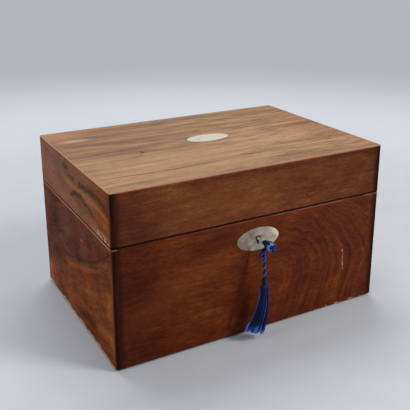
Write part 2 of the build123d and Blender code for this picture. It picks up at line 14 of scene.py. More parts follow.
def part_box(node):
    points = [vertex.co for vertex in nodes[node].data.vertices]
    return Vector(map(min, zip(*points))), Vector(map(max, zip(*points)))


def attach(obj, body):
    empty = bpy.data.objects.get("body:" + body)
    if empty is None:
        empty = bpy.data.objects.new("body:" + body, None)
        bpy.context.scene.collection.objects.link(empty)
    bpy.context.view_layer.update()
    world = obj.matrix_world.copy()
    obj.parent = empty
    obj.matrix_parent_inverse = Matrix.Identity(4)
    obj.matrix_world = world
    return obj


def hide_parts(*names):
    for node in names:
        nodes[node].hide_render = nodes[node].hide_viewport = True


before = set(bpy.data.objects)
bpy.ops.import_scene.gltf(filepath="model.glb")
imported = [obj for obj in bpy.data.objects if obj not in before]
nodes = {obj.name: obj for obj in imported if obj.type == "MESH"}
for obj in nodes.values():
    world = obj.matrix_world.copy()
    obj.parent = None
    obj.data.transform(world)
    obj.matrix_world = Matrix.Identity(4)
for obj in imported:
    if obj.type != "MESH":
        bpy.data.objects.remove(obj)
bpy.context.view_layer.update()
scene = bpy.context.scene

MM = 0.001
TURN = 2 * math.pi

# Sizes that repeat the part's own
HALF_WIDTH, HALF_DEPTH, HEIGHT = 150.0, 104.0, 173.5
FOOT = 2.5
SEAM = 121.5
RIM = 121.2
KEY_Z = 100.7
TASSEL_Y = -119.0


# Camera

CAMERA_PLACE = (-334.04, -606.37, 371.67)
CAMERA_AZIMUTH, CAMERA_ELEVATION, CAMERA_ROLL = -28.752, 17.272, -0.072
CAMERA_LENS, CAMERA_SENSOR = 59.54, 36.0
CAMERA_SHIFT = (0.0, -0.122)


def make_camera():
    data = bpy.data.cameras.new("camera")
    data.lens = CAMERA_LENS
    data.sensor_width = CAMERA_SENSOR
    data.shift_x, data.shift_y = CAMERA_SHIFT
    data.clip_start, data.clip_end = 0.05, 50
    camera = bpy.data.objects.new("camera", data)
    scene.collection.objects.link(camera)
    turn, rise, roll = (math.radians(v) for v in (CAMERA_AZIMUTH, CAMERA_ELEVATION, CAMERA_ROLL))
    back = Vector((math.sin(turn) * math.cos(rise), -math.cos(turn) * math.cos(rise), math.sin(rise)))
    level_right = (-back).cross(Vector((0, 0, 1))).normalized()
    level_up = level_right.cross(-back)
    right = math.cos(roll) * level_right + math.sin(roll) * level_up
    up = math.cos(roll) * level_up - math.sin(roll) * level_right
    placing = Matrix((right, up, back)).transposed().to_4x4()
    placing.translation = Vector(CAMERA_PLACE) * MM
    camera.matrix_world = placing
    scene.camera = camera


make_camera()
scene.view_settings.view_transform = "Standard"


# Shader building

def colour(red, green, blue):
    """A screen colour as the linear colour that shaders use."""
    def linear(value):
        value /= 255
        return value / 12.92 if value <= 0.04045 else ((value + 0.055) / 1.055) ** 2.4
    return linear(red), linear(green), linear(blue), 1.0


class Field:
    """A number that varies over a surface, for plain arithmetic with numbers and other fields."""

    def __init__(self, shader, socket):
        self.shader = shader
        self.socket = socket

    def by(self, operation, *others):
        return self.shader.math(operation, self, *others)

    __add__ = __radd__ = partialmethod(by, "ADD")
    __sub__ = partialmethod(by, "SUBTRACT")
    __mul__ = __rmul__ = partialmethod(by, "MULTIPLY")
    __truediv__ = partialmethod(by, "DIVIDE")
    power = partialmethod(by, "POWER")
    size = partialmethod(by, "ABSOLUTE")
    wave = partialmethod(by, "SINE")
    least = partialmethod(by, "MINIMUM")
    most = partialmethod(by, "MAXIMUM")

    def __rsub__(self, other):
        return self.shader.math("SUBTRACT", other, self)

    def rise(self, low, high):
        """0 below low, 1 above high, and smooth between them."""
        made = self.shader.node("ShaderNodeMapRange", self, low, high, interpolation_type="SMOOTHSTEP")
        return Field(self.shader, made.outputs["Result"])

    def fall(self, low, high):
        return 1 - self.rise(low, high)

    def within(self, low, high, soft):
        return self.rise(low - soft, low + soft) * self.fall(high - soft, high + soft)


def distance(across, up):
    return (across.power(2) + up.power(2)).power(0.5)


def any_of(*marks):
    """The strongest of several marks at each place."""
    return reduce(lambda one, other: one.most(other), marks)


class Paint:
    """A colour that varies over a surface, built up in layers."""

    def __init__(self, shader, socket):
        self.shader = shader
        self.socket = socket

    def cover(self, shade, amount, blend="MIX"):
        """Lays shade, a colour or another paint, over what is there, as far as amount is 1."""
        shade = colour(*shade) if isinstance(shade, tuple) else shade
        made = self.shader.node("ShaderNodeMix", data_type="RGBA", blend_type=blend, clamp_factor=True)
        for value, place in ((amount, 0), (self, 6), (shade, 7)):
            self.shader.join(value, made.inputs[place])
        self.socket = made.outputs[2]

    def tint(self, shade, amount):
        """Multiplies what is there by shade, as far as amount is 1."""
        self.cover(shade, amount, "MULTIPLY")


class Shader:
    """One material, built from short calls. x, y and z are places in the frame, in millimetres."""

    def __init__(self, name):
        self.material = bpy.data.materials.new(name)
        self.material.use_nodes = True
        self.tree = self.material.node_tree
        self.surface = self.tree.nodes["Principled BSDF"]
        place = self.tree.nodes.new("ShaderNodeTexCoord").outputs["Object"]
        split = self.node("ShaderNodeSeparateXYZ", place)
        self.x, self.y, self.z = (Field(self, socket) * 1000 for socket in split.outputs)

    def node(self, kind, *values, **settings):
        made = self.tree.nodes.new(kind)
        for key, value in settings.items():
            setattr(made, key, value)
        for socket, value in zip(made.inputs, values):
            self.join(value, socket)
        return made

    def join(self, value, socket):
        value = getattr(value, "socket", value)
        if isinstance(value, bpy.types.NodeSocket):
            self.tree.links.new(value, socket)
        else:
            socket.default_value = value

    def math(self, operation, *values):
        return Field(self, self.node("ShaderNodeMath", *values, operation=operation).outputs[0])

    def noise(self, u, v, w=0.0, detail=2.0, rough=0.5, distortion=0.0):
        """Smooth noise round 0.5, with lumps about one unit across."""
        place = self.node("ShaderNodeCombineXYZ", u, v, w).outputs[0]
        made = self.node("ShaderNodeTexNoise", place)
        for key, value in (
            ("Scale", 1.0), ("Detail", detail), ("Roughness", rough), ("Distortion", distortion),
        ):
            made.inputs[key].default_value = value
        return Field(self, made.outputs["Fac"])

    def shades(self, value, *stops):
        """The paint at value, along stops of (place, red, green, blue)."""
        made = self.node("ShaderNodeValToRGB", value)
        elements = made.color_ramp.elements
        while len(elements) < len(stops):
            elements.new(0.5)
        for element, (place, *shade) in zip(elements, stops):
            element.position = place
            element.color = colour(*shade)
        return Paint(self, made.outputs[0])

    def spot(self, u, v, middle, reach, soft=0.4, turn=0.0):
        """1 inside an ellipse and 0 outside it."""
        du, dv = u - middle[0], v - middle[1]
        if turn:
            c, s = math.cos(math.radians(turn)), math.sin(math.radians(turn))
            du, dv = du * c + dv * s, dv * c - du * s
        return distance(du / reach[0], dv / reach[1]).fall(1 - soft, 1 + soft)

    def course(self, u, points):
        """The v of a given line of (u, v) points, and how far along it u is, from 0 to 1."""
        start, end = points[0][0], points[-1][0]
        heights = [v for _, v in points]
        low, span = min(heights) - 1, max(heights) - min(heights) + 2
        along = (u - start) / (end - start)
        made = self.node("ShaderNodeFloatCurve")
        self.join(along, made.inputs["Value"])
        curve = made.mapping.curves[0]
        places = [((pu - start) / (end - start), (pv - low) / span) for pu, pv in points]
        while len(curve.points) < len(places):
            curve.points.new(0.5, 0.5)
        for point, place in zip(curve.points, places):
            point.location = place
        made.mapping.update()
        return Field(self, made.outputs[0]) * span + low, along

    def streaks(self, u, v, core, *rows):
        """1 along lines of points, given as rows of (strength, width, *points). A line is as wide as
        that at its middle, tapers to its ends and is solid as far out as core."""
        marks = []
        for strength, width, *points in rows:
            middle, along = self.course(u, points)
            taper = (along * (1 - along) * 4).most(0).power(0.5)
            away = (v - middle).size() / (taper * (width / 2) + 0.01)
            marks.append(away.fall(core, 1.0) * strength)
        return any_of(*marks)

    def bump(self, height, depth):
        """Raises the surface by height times depth, in millimetres."""
        made = self.tree.nodes.new("ShaderNodeBump")
        made.inputs["Distance"].default_value = depth * MM
        self.join(height, made.inputs["Height"])
        self.tree.links.new(made.outputs[0], self.surface.inputs["Normal"])

    def finish(self, **values):
        """Sets the surface's own inputs, such as Base_Color or Coat_Weight."""
        for key, value in values.items():
            self.join(value, self.surface.inputs[key.replace("_", " ")])
        return self.material


# Wood. u runs along a side and v up it from the veneer's foot, or u and v are x and y on the top.

PLAQUE = ((5.5, 6.0), 49.0, 24.0)
ESCUTCHEON = ((0.0, SEAM - 21.3 - FOOT), 47.4, 23.4)
SEAM_UP, RIM_UP, TOP_UP = SEAM - FOOT, RIM - FOOT, HEIGHT - FOOT


def polish(shader, wood, fine, rough, gloss):
    """The worn shellac finish, with pores that show in its surface."""
    shader.bump(fine, 0.04)
    return shader.finish(Base_Color=wood, Roughness=rough, Specular_IOR_Level=gloss)


def seam_wear_and_shade(wood, v, rim_wear, rubbed):
    """The pale worn edge of the base's rim, and painted shade for the dark line where the lid meets it."""
    wood.cover(rubbed, v.within(RIM_UP - 1.0, RIM_UP + 0.3, 0.2) * rim_wear)
    # Painted shade in the seam between lid and base.
    wood.cover((14, 6, 4), v.within(RIM_UP + 0.15, SEAM_UP + 1.9, 0.3))


def oval_edge(u, v, middle, length, breadth):
    """The dark glue line round an oval inlay."""
    away = distance((u - middle[0]) / (length / 2), (v - middle[1]) / (breadth / 2))
    return away.within(0.98, 1.045, 0.02)


def keyhole_painted_shade(s):
    """1 on what lies in the keyhole behind the front face, where a painted shade darkens the hole."""
    return s.spot(s.x, s.z, (0, KEY_Z - 1.5), (6, 8), 0.1) * s.y.rise(0.1 - HALF_DEPTH, 0.5 - HALF_DEPTH)


def front_veneer():
    """Level grain with nested arches on the right of the base, and the photograph's marks."""
    s = Shader("veneer_front")
    u, v = s.x, s.z - FOOT
    lid = v.rise(SEAM_UP - 0.2, SEAM_UP + 0.2)

    # Grain: level lines, and rings round the foot of the arches
    figure_u, figure_v = 24, 45
    sway = s.noise(u * 0.010, v * 0.016, 3.1) * 9 + s.noise(u * 0.05, v * 0.05, 4.1) * 2.2
    level = s.noise(u * 0.030, (v + sway) * 0.34, 0.3, 3, 0.55)
    wander = s.noise(u * 0.03, v * 0.03, 5.5, 2) * 14 - 7
    du = (u - figure_u + (figure_v - v).most(0) * 0.33).most(0) + wander
    dv = (v - figure_v + wander).most(0)
    arch = distance(du, dv * (distance(du, dv) * 0.0105 + 0.45))
    rings = s.noise(arch * 0.21, u * 0.010, v * 0.010, 3, 0.6)
    in_figure = u.rise(8, 42) * v.fall(SEAM_UP - 6, SEAM_UP + 2)
    grain = level + (rings - level) * in_figure
    cloud = s.noise(u * 0.016 + v * 0.012, v * 0.022 - u * 0.008, 1.9, 3, 0.55)
    flecks = s.noise(u * 0.20, v * 0.55, 9.4, 2)
    mottle = s.noise(u * 0.07, v * 0.11, 7.7, 3, 0.6)
    pores = s.noise(u * 0.18, v * 1.9, 2.2, 2)

    # Colour of the base and the lid
    tone = grain * (0.22 + in_figure * 0.22) + cloud * 0.22 + mottle * 0.18 + flecks * 0.18
    tone = tone + 0.10 - in_figure * 0.11
    wood = s.shades(tone, (0.38, 64, 20, 3), (0.46, 84, 32, 6), (0.53, 100, 42, 9), (0.64, 130, 64, 20))
    wood.cover(
        s.shades(tone, (0.38, 73, 32, 12), (0.46, 94, 47, 21), (0.53, 109, 57, 28), (0.64, 139, 83, 44)), lid
    )
    wood.tint((214, 200, 206), u.fall(-140, -84))
    wood.tint((232, 226, 232), u.rise(60, 120) * lid)
    wood.tint((255, 250, 218), u.rise(20, 110))
    # Painted sheen: a brighter patch on the lid, a diagonal band on the left of the base and a patch round
    # the escutcheon.
    painted_sheen = any_of(
        s.spot(u, v, (-30, 144), (58, 16), 0.9),
        s.spot(u, v, (-84, 66), (60, 14), 0.9, 24) * 0.8,
        s.spot(u, v, (2, 98), (30, 14), 0.9) * 0.6,
    )
    wood.cover((150, 84, 34), painted_sheen * 0.2)
    # Darker patches, partly a painted shadow of the tassel and partly dark figure in the veneer: left of the
    # escutcheon and in a band from it down to the foot, with a patch near the left end.
    shadow_and_figure = any_of(
        s.spot(u, v, (-42, 102), (26, 7), 0.9, 8),
        s.streaks(v, u, 0.0, (1, 16, (6, -34), (40, -22), (84, -10))),
        s.spot(u, v, (-128, 70), (24, 40), 0.9) * 0.7,
    )
    wood.tint((186, 158, 146), shadow_and_figure * 0.6)
    wood.tint((222, 200, 196), v.fall(2, 24) * 0.5)
    wood.tint((166, 132, 114), pores.rise(0.54, 0.70) * 0.5)

    # Marks: a knot on the lid, a dot, the scratch, the chips along the foot
    wood.cover((30, 12, 7), s.streaks(u, v, 0.3, (0.55, 4, (54, 135), (58, 131), (63, 128))))
    wood.cover((20, 9, 6), s.spot(u, v, (-12, 77), (1.1, 1.1)) * 0.8)
    scratch = s.streaks(v, u, 0.2, (0.9, 2.2, (38, 108.5), (50, 107.2), (58, 106.6), (68, 106.0)))
    wood.cover((206, 140, 106), scratch * s.noise(u * 0.5, v * 0.3, 4.4).rise(0.46, 0.56))
    chips = s.noise(u * 0.14, v * 0.2, 8.3).rise(0.60, 0.63) * v.fall(0.8, 1.6) * u.rise(20, 60)
    wood.cover((205, 178, 148), chips * 0.7)

    # Edges: the top arris, pale from wear and a painted highlight on its rounding, the escutcheon's glue
    # line, painted shade in the keyhole and in the seam over the rim's wear, the corner strips
    arris = (v - TOP_UP + 1.6 * (0.7 + 0.6 * flecks)).rise(-0.6, 0.8)
    wood.cover((132, 86, 62), arris * 0.85)
    wood.tint((196, 160, 150), v.within(TOP_UP - 6.5, TOP_UP - 2.2, 1.6) * u.rise(-150, 20) * 0.55)
    wood.cover((24, 11, 8), oval_edge(u, v, *ESCUTCHEON) * 0.7)
    # Painted shade inside the keyhole.
    wood.cover((14, 8, 5), keyhole_painted_shade(s))
    worn = s.noise(u * 0.03, 0.0, 6.2).rise(0.35, 0.6) * u.rise(-90, 60)
    seam_wear_and_shade(wood, v, worn * 0.6, (150, 100, 78))
    wood.tint((132, 106, 100), u.size().rise(HALF_WIDTH - 11, HALF_WIDTH - 5) * 0.8)
    rough = s.noise(u * 0.05, v * 0.05, 9.1) * 0.18 + 0.34
    return polish(s, wood, grain * 0.4 + pores * 0.5, rough, 0.09)


def left_veneer():
    """Slanting grain with a dark broken vein on the base, and an olive figure with a leaf on the lid."""
    s = Shader("veneer_left")
    u, v = s.y, s.z - FOOT
    lid = v.rise(SEAM_UP - 0.3, SEAM_UP + 0.3)
    base = 1 - lid

    # Grain
    sway = s.noise(u * 0.014, v * 0.014, 2.1) * 16 + s.noise(u * 0.06, v * 0.06, 3.1) * 2.5
    level = s.noise(u * 0.024, (v + sway + u * 0.12) * 0.22, 1.3, 3, 0.6)
    slanted = s.noise(u * 0.024, (v + sway * 1.4 + u * 0.30) * 0.13, 4.6, 3, 0.6)
    grain = slanted + (level - slanted) * lid
    patch = s.noise(u * 0.026, v * 0.030, 8.8, 3, 0.6)
    flecks = s.noise(u * 0.25, v * 0.5, 6.1, 2)
    pores = s.noise(u * 0.2, v * 1.2, 5.2, 2)
    wobble = s.noise(u * 0.045, v * 0.045, 6.7, 3, 0.6) * 18 - 9
    wavy = v + wobble * 0.45

    # Colour, dusky above the vein
    wood = s.shades(
        grain * 0.42 + patch * 0.46 + flecks * 0.26 - 0.07,
        (0.34, 72, 29, 9), (0.46, 106, 51, 20), (0.57, 133, 69, 31), (0.70, 162, 97, 54),
    )
    wood.cover((150, 116, 98), lid * u.rise(-104, -30) * 0.36)
    dusk = ((v - 70) + (u + 20) * 0.36 + wobble * 1.6).rise(-10, 16) * base
    wood.tint((196, 178, 186), dusk * 0.8)
    wood.cover((98, 70, 58), dusk * patch.rise(0.48, 0.66) * 0.5)

    # The base's vein, the warm band under it and two small pale marks
    vein = any_of(
        s.streaks(
            u, wavy, 0.1,
            (1, 6.0, (-102, 115), (-81, 101), (-56, 87), (-26, 76), (12, 66), (48, 58)),
            (0.9, 5.4, (30, 84), (50, 79), (77, 69), (106, 62)),
        ),
        s.streaks(u, wavy, 0.0, (0.8, 8, (-84, 92), (-52, 80), (-22, 70))),
        s.spot(u, wavy, (68, 80), (16, 7), 0.9, -16) * 0.6,
    )
    broken = s.noise(u * 0.07, v * 0.10, 9.9, 3, 0.6).rise(0.36, 0.58)
    wood.cover((40, 22, 14), vein * (broken * 0.75 + 0.2))
    under = s.streaks(u, wavy, 0.0, (0.35, 9, (-96, 104), (-56, 78), (-20, 66), (30, 52)))
    wood.cover((160, 88, 42), under * base)
    wood.cover((196, 108, 56), s.spot(u, v, (-23, 96), (3.0, 1.6), 0.8) * 0.55)
    wood.cover((196, 140, 104), s.spot(u, v, (-91, 59), (1.4, 3.2), 0.6, 24) * 0.5)

    # The lid's figure: a band and a hollow leaf, with a warm halo
    blotch = s.noise(u * 0.06, v * 0.13, 3.7, 3, 0.6)
    band = s.streaks(
        u, v + wobble * 0.5, 0.1,
        (1, 17, (-102, 147), (-87, 155), (-59, 157), (-26, 154), (-2, 156), (19, 162), (40, 170)),
    )
    leaf_v = v + wobble * 0.6
    leaf = s.streaks(u, leaf_v, 0.55, (1, 15, (-62, 135), (-46, 138), (-27, 139), (4, 136)))
    hollow = s.streaks(u, leaf_v, 0.3, (0.65, 9, (-54, 134), (-42, 136), (-27, 137), (-4, 135)))
    leaf = leaf * (1 - hollow)
    figure = any_of(band * blotch.rise(0.36, 0.54), leaf * blotch.rise(0.26, 0.50) * 0.95)
    wood.cover((50, 46, 32), figure * 0.85)
    halo = s.streaks(u, v, 0.3, (0.45, 10, (-104, 138), (-76, 147), (-30, 147), (8, 147), (34, 156)))
    wood.cover((176, 104, 56), halo * lid * (1 - figure))
    wood.tint((160, 130, 115), pores.rise(0.54, 0.72) * 0.55)
    wood.tint((255, 250, 222), u.fall(-30, 60))

    # Wear: a chafed corner by the seam and the ragged foot; the top edge, pale from wear and a painted
    # highlight on its rounding; painted shade in the seam
    chafed = s.spot(u, v, (-84, 122.5), (20, 4.5), 0.6) * s.noise(u * 0.3, v * 0.45, 6.6).rise(0.42, 0.56)
    wood.cover((190, 160, 140), chafed * 0.7)
    ragged = s.noise(u * 0.08, 0.0, 7.3, 3).rise(0.3, 0.7)
    wood.cover((206, 160, 124), (v - ragged * 2.6).fall(-0.5, 0.5) * 0.85)
    wood.cover((206, 150, 116), v.rise(TOP_UP - 0.8, TOP_UP - 0.4) * 0.8)
    seam_wear_and_shade(wood, v, 0.8, (188, 132, 100))
    rough = s.noise(u * 0.05, v * 0.05, 9.1) * 0.2 + 0.4
    return polish(s, wood, grain * 0.4 + pores * 0.5, rough, 0.02)


def plain_side_veneer(name, across, seed):
    """The veneer of a side that the photograph doesn't show, in the same worn wood."""
    s = Shader(name)
    u, v = (s.x if across else s.y), s.z - FOOT
    sway = s.noise(u * 0.010, v * 0.010, seed, 2) * 46 + s.noise(u * 0.05, v * 0.05, seed + 9) * 3
    level = s.noise(u * 0.02, (v + sway) * 0.26, seed + 1, 4, 0.6)
    patch = s.noise(u * 0.018 + v * 0.008, v * 0.024, seed + 2, 3, 0.55)
    mottle = s.noise(u * 0.07, v * 0.11, seed + 8, 3, 0.6)
    flecks = s.noise(u * 0.20, v * 0.55, seed + 10, 2)
    pores = s.noise(u * 0.2, v * 1.9, seed + 3, 2)
    wood = s.shades(
        level * 0.34 + patch * 0.30 + mottle * 0.18 + flecks * 0.18,
        (0.37, 66, 26, 10), (0.46, 90, 40, 17), (0.54, 108, 52, 24), (0.66, 140, 78, 42),
    )
    wood.tint((160, 128, 112), pores.rise(0.54, 0.70) * 0.5)
    wood.cover((44, 24, 15), s.noise(u * 0.012, (v + sway) * 0.07, seed + 4, 3).rise(0.56, 0.72) * 0.5)
    foot = (v - s.noise(u * 0.09, 0.0, seed + 6, 3) * 2.0).fall(-0.4, 0.5)
    wood.cover((196, 156, 122), foot * 0.6)
    wear = s.noise(u * 0.03, 0.0, seed + 5).rise(0.4, 0.6)
    # Painted shade in the seam, over the rim's worn edge.
    seam_wear_and_shade(wood, v, wear * 0.7, (178, 140, 118))
    rough = s.noise(u * 0.05, v * 0.05, seed + 7) * 0.18 + 0.34
    return polish(s, wood, level * 0.4 + pores * 0.5, rough, 0.14)


def top_veneer():
    """Paler faded wood, also painted lighter and greyer as a painted sheen of the polished top, with grey
    streaks, cracks and a short curved mark.
    """
    s = Shader("veneer_top")
    u, v = s.x, s.y

    # Grain
    sway = s.noise(u * 0.009, v * 0.02, 1.7) * 12 + s.noise(u * 0.04, v * 0.06, 2.7) * 3
    wavy = v + sway - 7.5
    bands = s.noise(u * 0.008, wavy * 0.085, 0.9, 4, 0.55)
    level = s.noise(u * 0.03, wavy * 0.42, 5.9, 3, 0.6)
    flecks = s.noise(u * 0.09, wavy * 0.8, 8.1, 2)
    pores = s.noise(u * 0.16, v * 2.4, 2.4, 2)
    strokes = s.noise(u * 0.045, wavy * 0.42, 3.3, 2)

    # Colour: sunny in front, cool at the back left and warm on the right
    # Paler and greyer than the sides' wood: partly fading, partly a painted sheen.
    wood = s.shades(
        bands * 0.62 + level * 0.26 + flecks * 0.2 - 0.04,
        (0.34, 106, 82, 60), (0.46, 142, 110, 80), (0.56, 165, 129, 94), (0.70, 194, 156, 115),
    )
    sunny, beside = s.spot(u, v, (-60, -52), (90, 34), 0.6, 4), s.spot(u, v, (50, -22), (70, 22), 0.8, 4)
    wood.cover((196, 156, 114), any_of(sunny, beside * 0.7) * 0.30)
    wood.tint((250, 245, 238), 1.0)
    wood.tint((238, 226, 230), s.spot(u, v, (-96, 40), (80, 50), 0.7) * 0.9)
    wood.tint((250, 232, 226), s.spot(u, v, (130, 10), (36, 90), 0.8) * 0.7)
    wood.tint((150, 132, 124), strokes.rise(0.56, 0.66) * u.rise(-90, 40) * 0.6)
    wood.tint((170, 150, 136), pores.rise(0.55, 0.7) * 0.55)

    # Streaks, cracks, the curved mark and two light spots
    ragged = s.noise(u * 0.04, v * 0.35, 6.1, 2).rise(0.28, 0.6)
    grey = s.streaks(
        u, wavy, 0.0,
        (1, 22, (-152, 46), (-96, 36), (-50, 24), (-14, 14), (24, 5)),
        (0.8, 16, (-152, 6), (-118, -1), (-56, -8)),
        (0.9, 10, (30, 32), (70, 24), (124, 25)),
        (0.6, 8, (-60, 66), (20, 52), (96, 44)),
        (0.5, 12, (10, -60), (80, -48), (152, -40)),
    )
    wood.cover((84, 68, 60), grey * ragged * 0.7)
    cracks = s.streaks(
        u, v, 0.3,
        (1, 2.2, (-150, 75), (-135, 75), (-60, 79), (-10, 80), (50, 70), (110, 56)),
        (1, 2.6, (-148, -68), (-120, -70), (-72, -72), (-20, -68)),
        (1, 2.2, (-98, -22), (-90, -21), (-84, -19), (-79, -13)),
        (0.6, 1.8, (-30, 94), (40, 91), (130, 84)),
    )
    cracks = any_of(cracks, s.spot(u, v, (-78, -9), (1.8, 3.6), 0.5))
    wood.cover((54, 36, 27), cracks * (ragged * 0.4 + 0.55))
    wood.cover((222, 192, 156), s.spot(u, v, (-126, 62), (14, 4), 0.8) * 0.4)
    wood.cover((196, 128, 82), s.spot(u, v, (-130, 86), (20, 8), 0.8) * 0.3)

    # Edges
    wood.cover((24, 14, 10), oval_edge(u, v, *PLAQUE) * 0.6)
    # Pale line along the left edge: wear and a painted highlight on its rounding.
    wood.cover((200, 146, 112), (0 - u).rise(HALF_WIDTH - 1.0, HALF_WIDTH - 0.7) * 0.8)
    front_arris = (0 - v + s.noise(u * 0.05, 0.0, 5.1, 3) * 5).rise(HALF_DEPTH - 3.5, HALF_DEPTH + 1.0)
    wood.cover((160, 114, 88), front_arris * 0.8)
    rough = s.noise(u * 0.03, v * 0.05, 9.1) * 0.2 + 0.42
    return polish(s, wood, level * 0.5 + pores * 0.5, rough, 0.16)


def ebonised_wood():
    """The corner strips: dark on the front and back, with the side veneer running over their sides."""
    s = Shader("ebonised_strip")
    upright = s.noise(s.x * 0.5, s.y * 0.5, s.z * 0.02, 3, 0.6)
    wood = s.shades(upright, (0.35, 22, 9, 4), (0.55, 38, 18, 9), (0.72, 66, 34, 18))
    wood.cover((70, 30, 14), s.x.size().fall(HALF_WIDTH - 5.6, HALF_WIDTH - 2.6) * 0.7)
    veneer_edge = s.shades(upright, (0.35, 76, 35, 15), (0.7, 120, 66, 36))
    wood.cover(veneer_edge, s.x.size().rise(HALF_WIDTH - 0.9, HALF_WIDTH - 0.1) * 0.9)
    # Paler along the corner arris: wear and a painted highlight on the rounded corner.
    corner = (s.x.size() - HALF_WIDTH).size().least(1) + (s.y.size() - HALF_DEPTH).size().least(1)
    rubbed = corner.fall(0.5, 1.1) * s.noise(s.x * 0.1, s.y * 0.1, s.z * 0.12, 3).rise(0.5, 0.66)
    wood.cover((96, 56, 36), rubbed * 0.4)
    # Painted shade in the seam, over the rim's worn edge.
    seam_wear_and_shade(wood, s.z - FOOT, 0.5, (150, 110, 90))
    return polish(s, wood, upright, upright * 0.2 + 0.4, 0.02)


def plain_wood(name, dark, light, gloss):
    """Sawn boards: growth rings, with fine pores."""
    s = Shader(name)
    rings = s.noise((s.x + s.y * 0.6) * 0.02, (s.y - s.x * 0.3) * 0.05, s.z * 0.3, 4, 0.6)
    pores = s.noise(s.x * 0.3, s.y * 0.3, s.z * 2.2, 2)
    wood = s.shades(rings, (0.3, *dark), (0.7, *light))
    wood.tint((170, 145, 125), pores.rise(0.55, 0.7) * 0.5)
    s.bump(rings + pores * 0.5, 0.06)
    return s.finish(Base_Color=wood, Roughness=rings * 0.2 + 0.42, Coat_Weight=gloss, Coat_Roughness=0.3)


# Pearl and metal

def pearl(name, up_axis, shine, lean=0.0):
    """Mother of pearl: clouds and growth lines in four shades, and lean lightens its right side."""
    s = Shader(name)
    u, v = s.x, getattr(s, up_axis)
    cloud = s.noise(u * 0.05, v * 0.08, 2.0, 2, 0.5, 1.0)
    growth = s.noise(u * 0.03, v * 0.5, 5.0, 3, 0.6, 0.8)
    stops = [(place, *shade) for place, shade in zip((0.30, 0.45, 0.58, 0.70), shine)]
    shell = s.shades(cloud * 0.8 + growth * 0.2 + u * lean, *stops)
    scratches = s.noise(u * 0.4, v * 2.5, 8.0, 2).rise(0.6, 0.7)
    shell.tint((200, 190, 180), scratches * 0.35)
    # Painted shade inside the keyhole.
    shell.cover((24, 14, 9), keyhole_painted_shade(s))
    s.bump(growth, 0.03)
    return s.finish(Base_Color=shell, Roughness=growth * 0.2 + 0.24, Specular_IOR_Level=0.5)


def metal(name, dark, bright, rough, metallic=1.0):
    """Tarnished metal with fine scratches."""
    s = Shader(name)
    tarnish = s.noise(s.x * 0.25, s.y * 0.25, s.z * 0.25, 4, 0.6)
    shade = s.shades(tarnish, (0.35, *dark), (0.6, *bright))
    # Painted shade on the metal inside the keyhole.
    shade.cover((16, 11, 8), keyhole_painted_shade(s) * 0.95)
    s.bump(s.noise(s.x * 0.6, s.y * 0.6, s.z * 4.0, 2), 0.02)
    return s.finish(Base_Color=shade, Metallic=metallic, Roughness=tarnish * 0.25 + rough)


# Cloth and silk

def velvet(name, deep, light):
    s = Shader(name)
    brushed = s.noise(s.x * 0.03, s.y * 0.03, s.z * 0.04, 3, 0.6)
    pile = s.noise(s.x * 2.0, s.y * 2.0, s.z * 2.0, 2)
    cloth = s.shades(brushed * 0.6 + pile * 0.4, (0.36, *deep), (0.68, *light))
    s.bump(pile, 0.25)
    return s.finish(
        Base_Color=cloth, Roughness=0.85, Sheen_Weight=0.6, Sheen_Roughness=0.35,
        Sheen_Tint=colour(120, 140, 220), Specular_IOR_Level=0.15,
    )


def felt(name, deep, light):
    s = Shader(name)
    fibres = s.noise(s.x * 1.2, s.y * 1.2, s.z * 1.2, 4, 0.7)
    cloth = s.shades(fibres, (0.35, *deep), (0.65, *light))
    s.bump(fibres, 0.3)
    return s.finish(Base_Color=cloth, Roughness=0.95, Specular_IOR_Level=0.1)


def ribbon_silk():
    """Ribbon with fine ribs across it."""
    s = Shader("ribbon_silk")
    ribs = (s.z * 9).wave() * 0.5 + 0.5
    cloth = s.shades(ribs, (0.1, 38, 52, 118), (0.9, 58, 78, 158))
    s.bump(ribs, 0.08)
    return s.finish(Base_Color=cloth, Roughness=0.45, Sheen_Weight=0.4, Sheen_Roughness=0.3)


def tassel_silk(name, dark, middle, bright):
    """Rayon thread: the piece's own "tone" goes from dark to bright and carries painted highlights and
    painted shade as well as the thread's colour, with fine fibres along it.
    """
    s = Shader(name)
    tone = Field(s, s.node("ShaderNodeAttribute", attribute_name="tone").outputs["Fac"])
    fibres = s.noise(s.x * 1.3, s.y * 1.3, s.z * 0.5, 3, 0.6)
    silk = s.shades(tone + (fibres - 0.5) * 0.5, (0.12, *dark), (0.5, *middle), (0.95, *bright))
    s.bump(fibres, 0.15)
    return s.finish(Base_Color=silk, Roughness=0.4, Specular_IOR_Level=0.25, Anisotropic=0.4)


# Mesh building. A shell is its points, its faces and a tone for each point.

def around(sides):
    """Angles all the way round."""
    return [TURN * side / sides for side in range(sides)]


def ringed(rings, tones=None):
    """A shell over rings of as many points each, closed at both ends, with one tone for each ring."""
    sides = len(rings[0])
    points = [point for ring in rings for point in ring]
    faces = []
    for start in range(0, len(points) - sides, sides):
        for side in range(sides):
            after = (side + 1) % sides
            faces.append((start + side, start + after, start + sides + after, start + sides + side))
    faces.append(tuple(range(sides))[::-1])
    faces.append(tuple(range(len(points) - sides, len(points))))
    return points, faces, [tone for tone in tones or [0.0] * len(rings) for _ in range(sides)]


def directions(line):
    """The way that a line of points runs at each of them."""
    ends = [line[0], *line, line[-1]]
    return [(after - before).normalized() for before, after in zip(ends, ends[2:])]


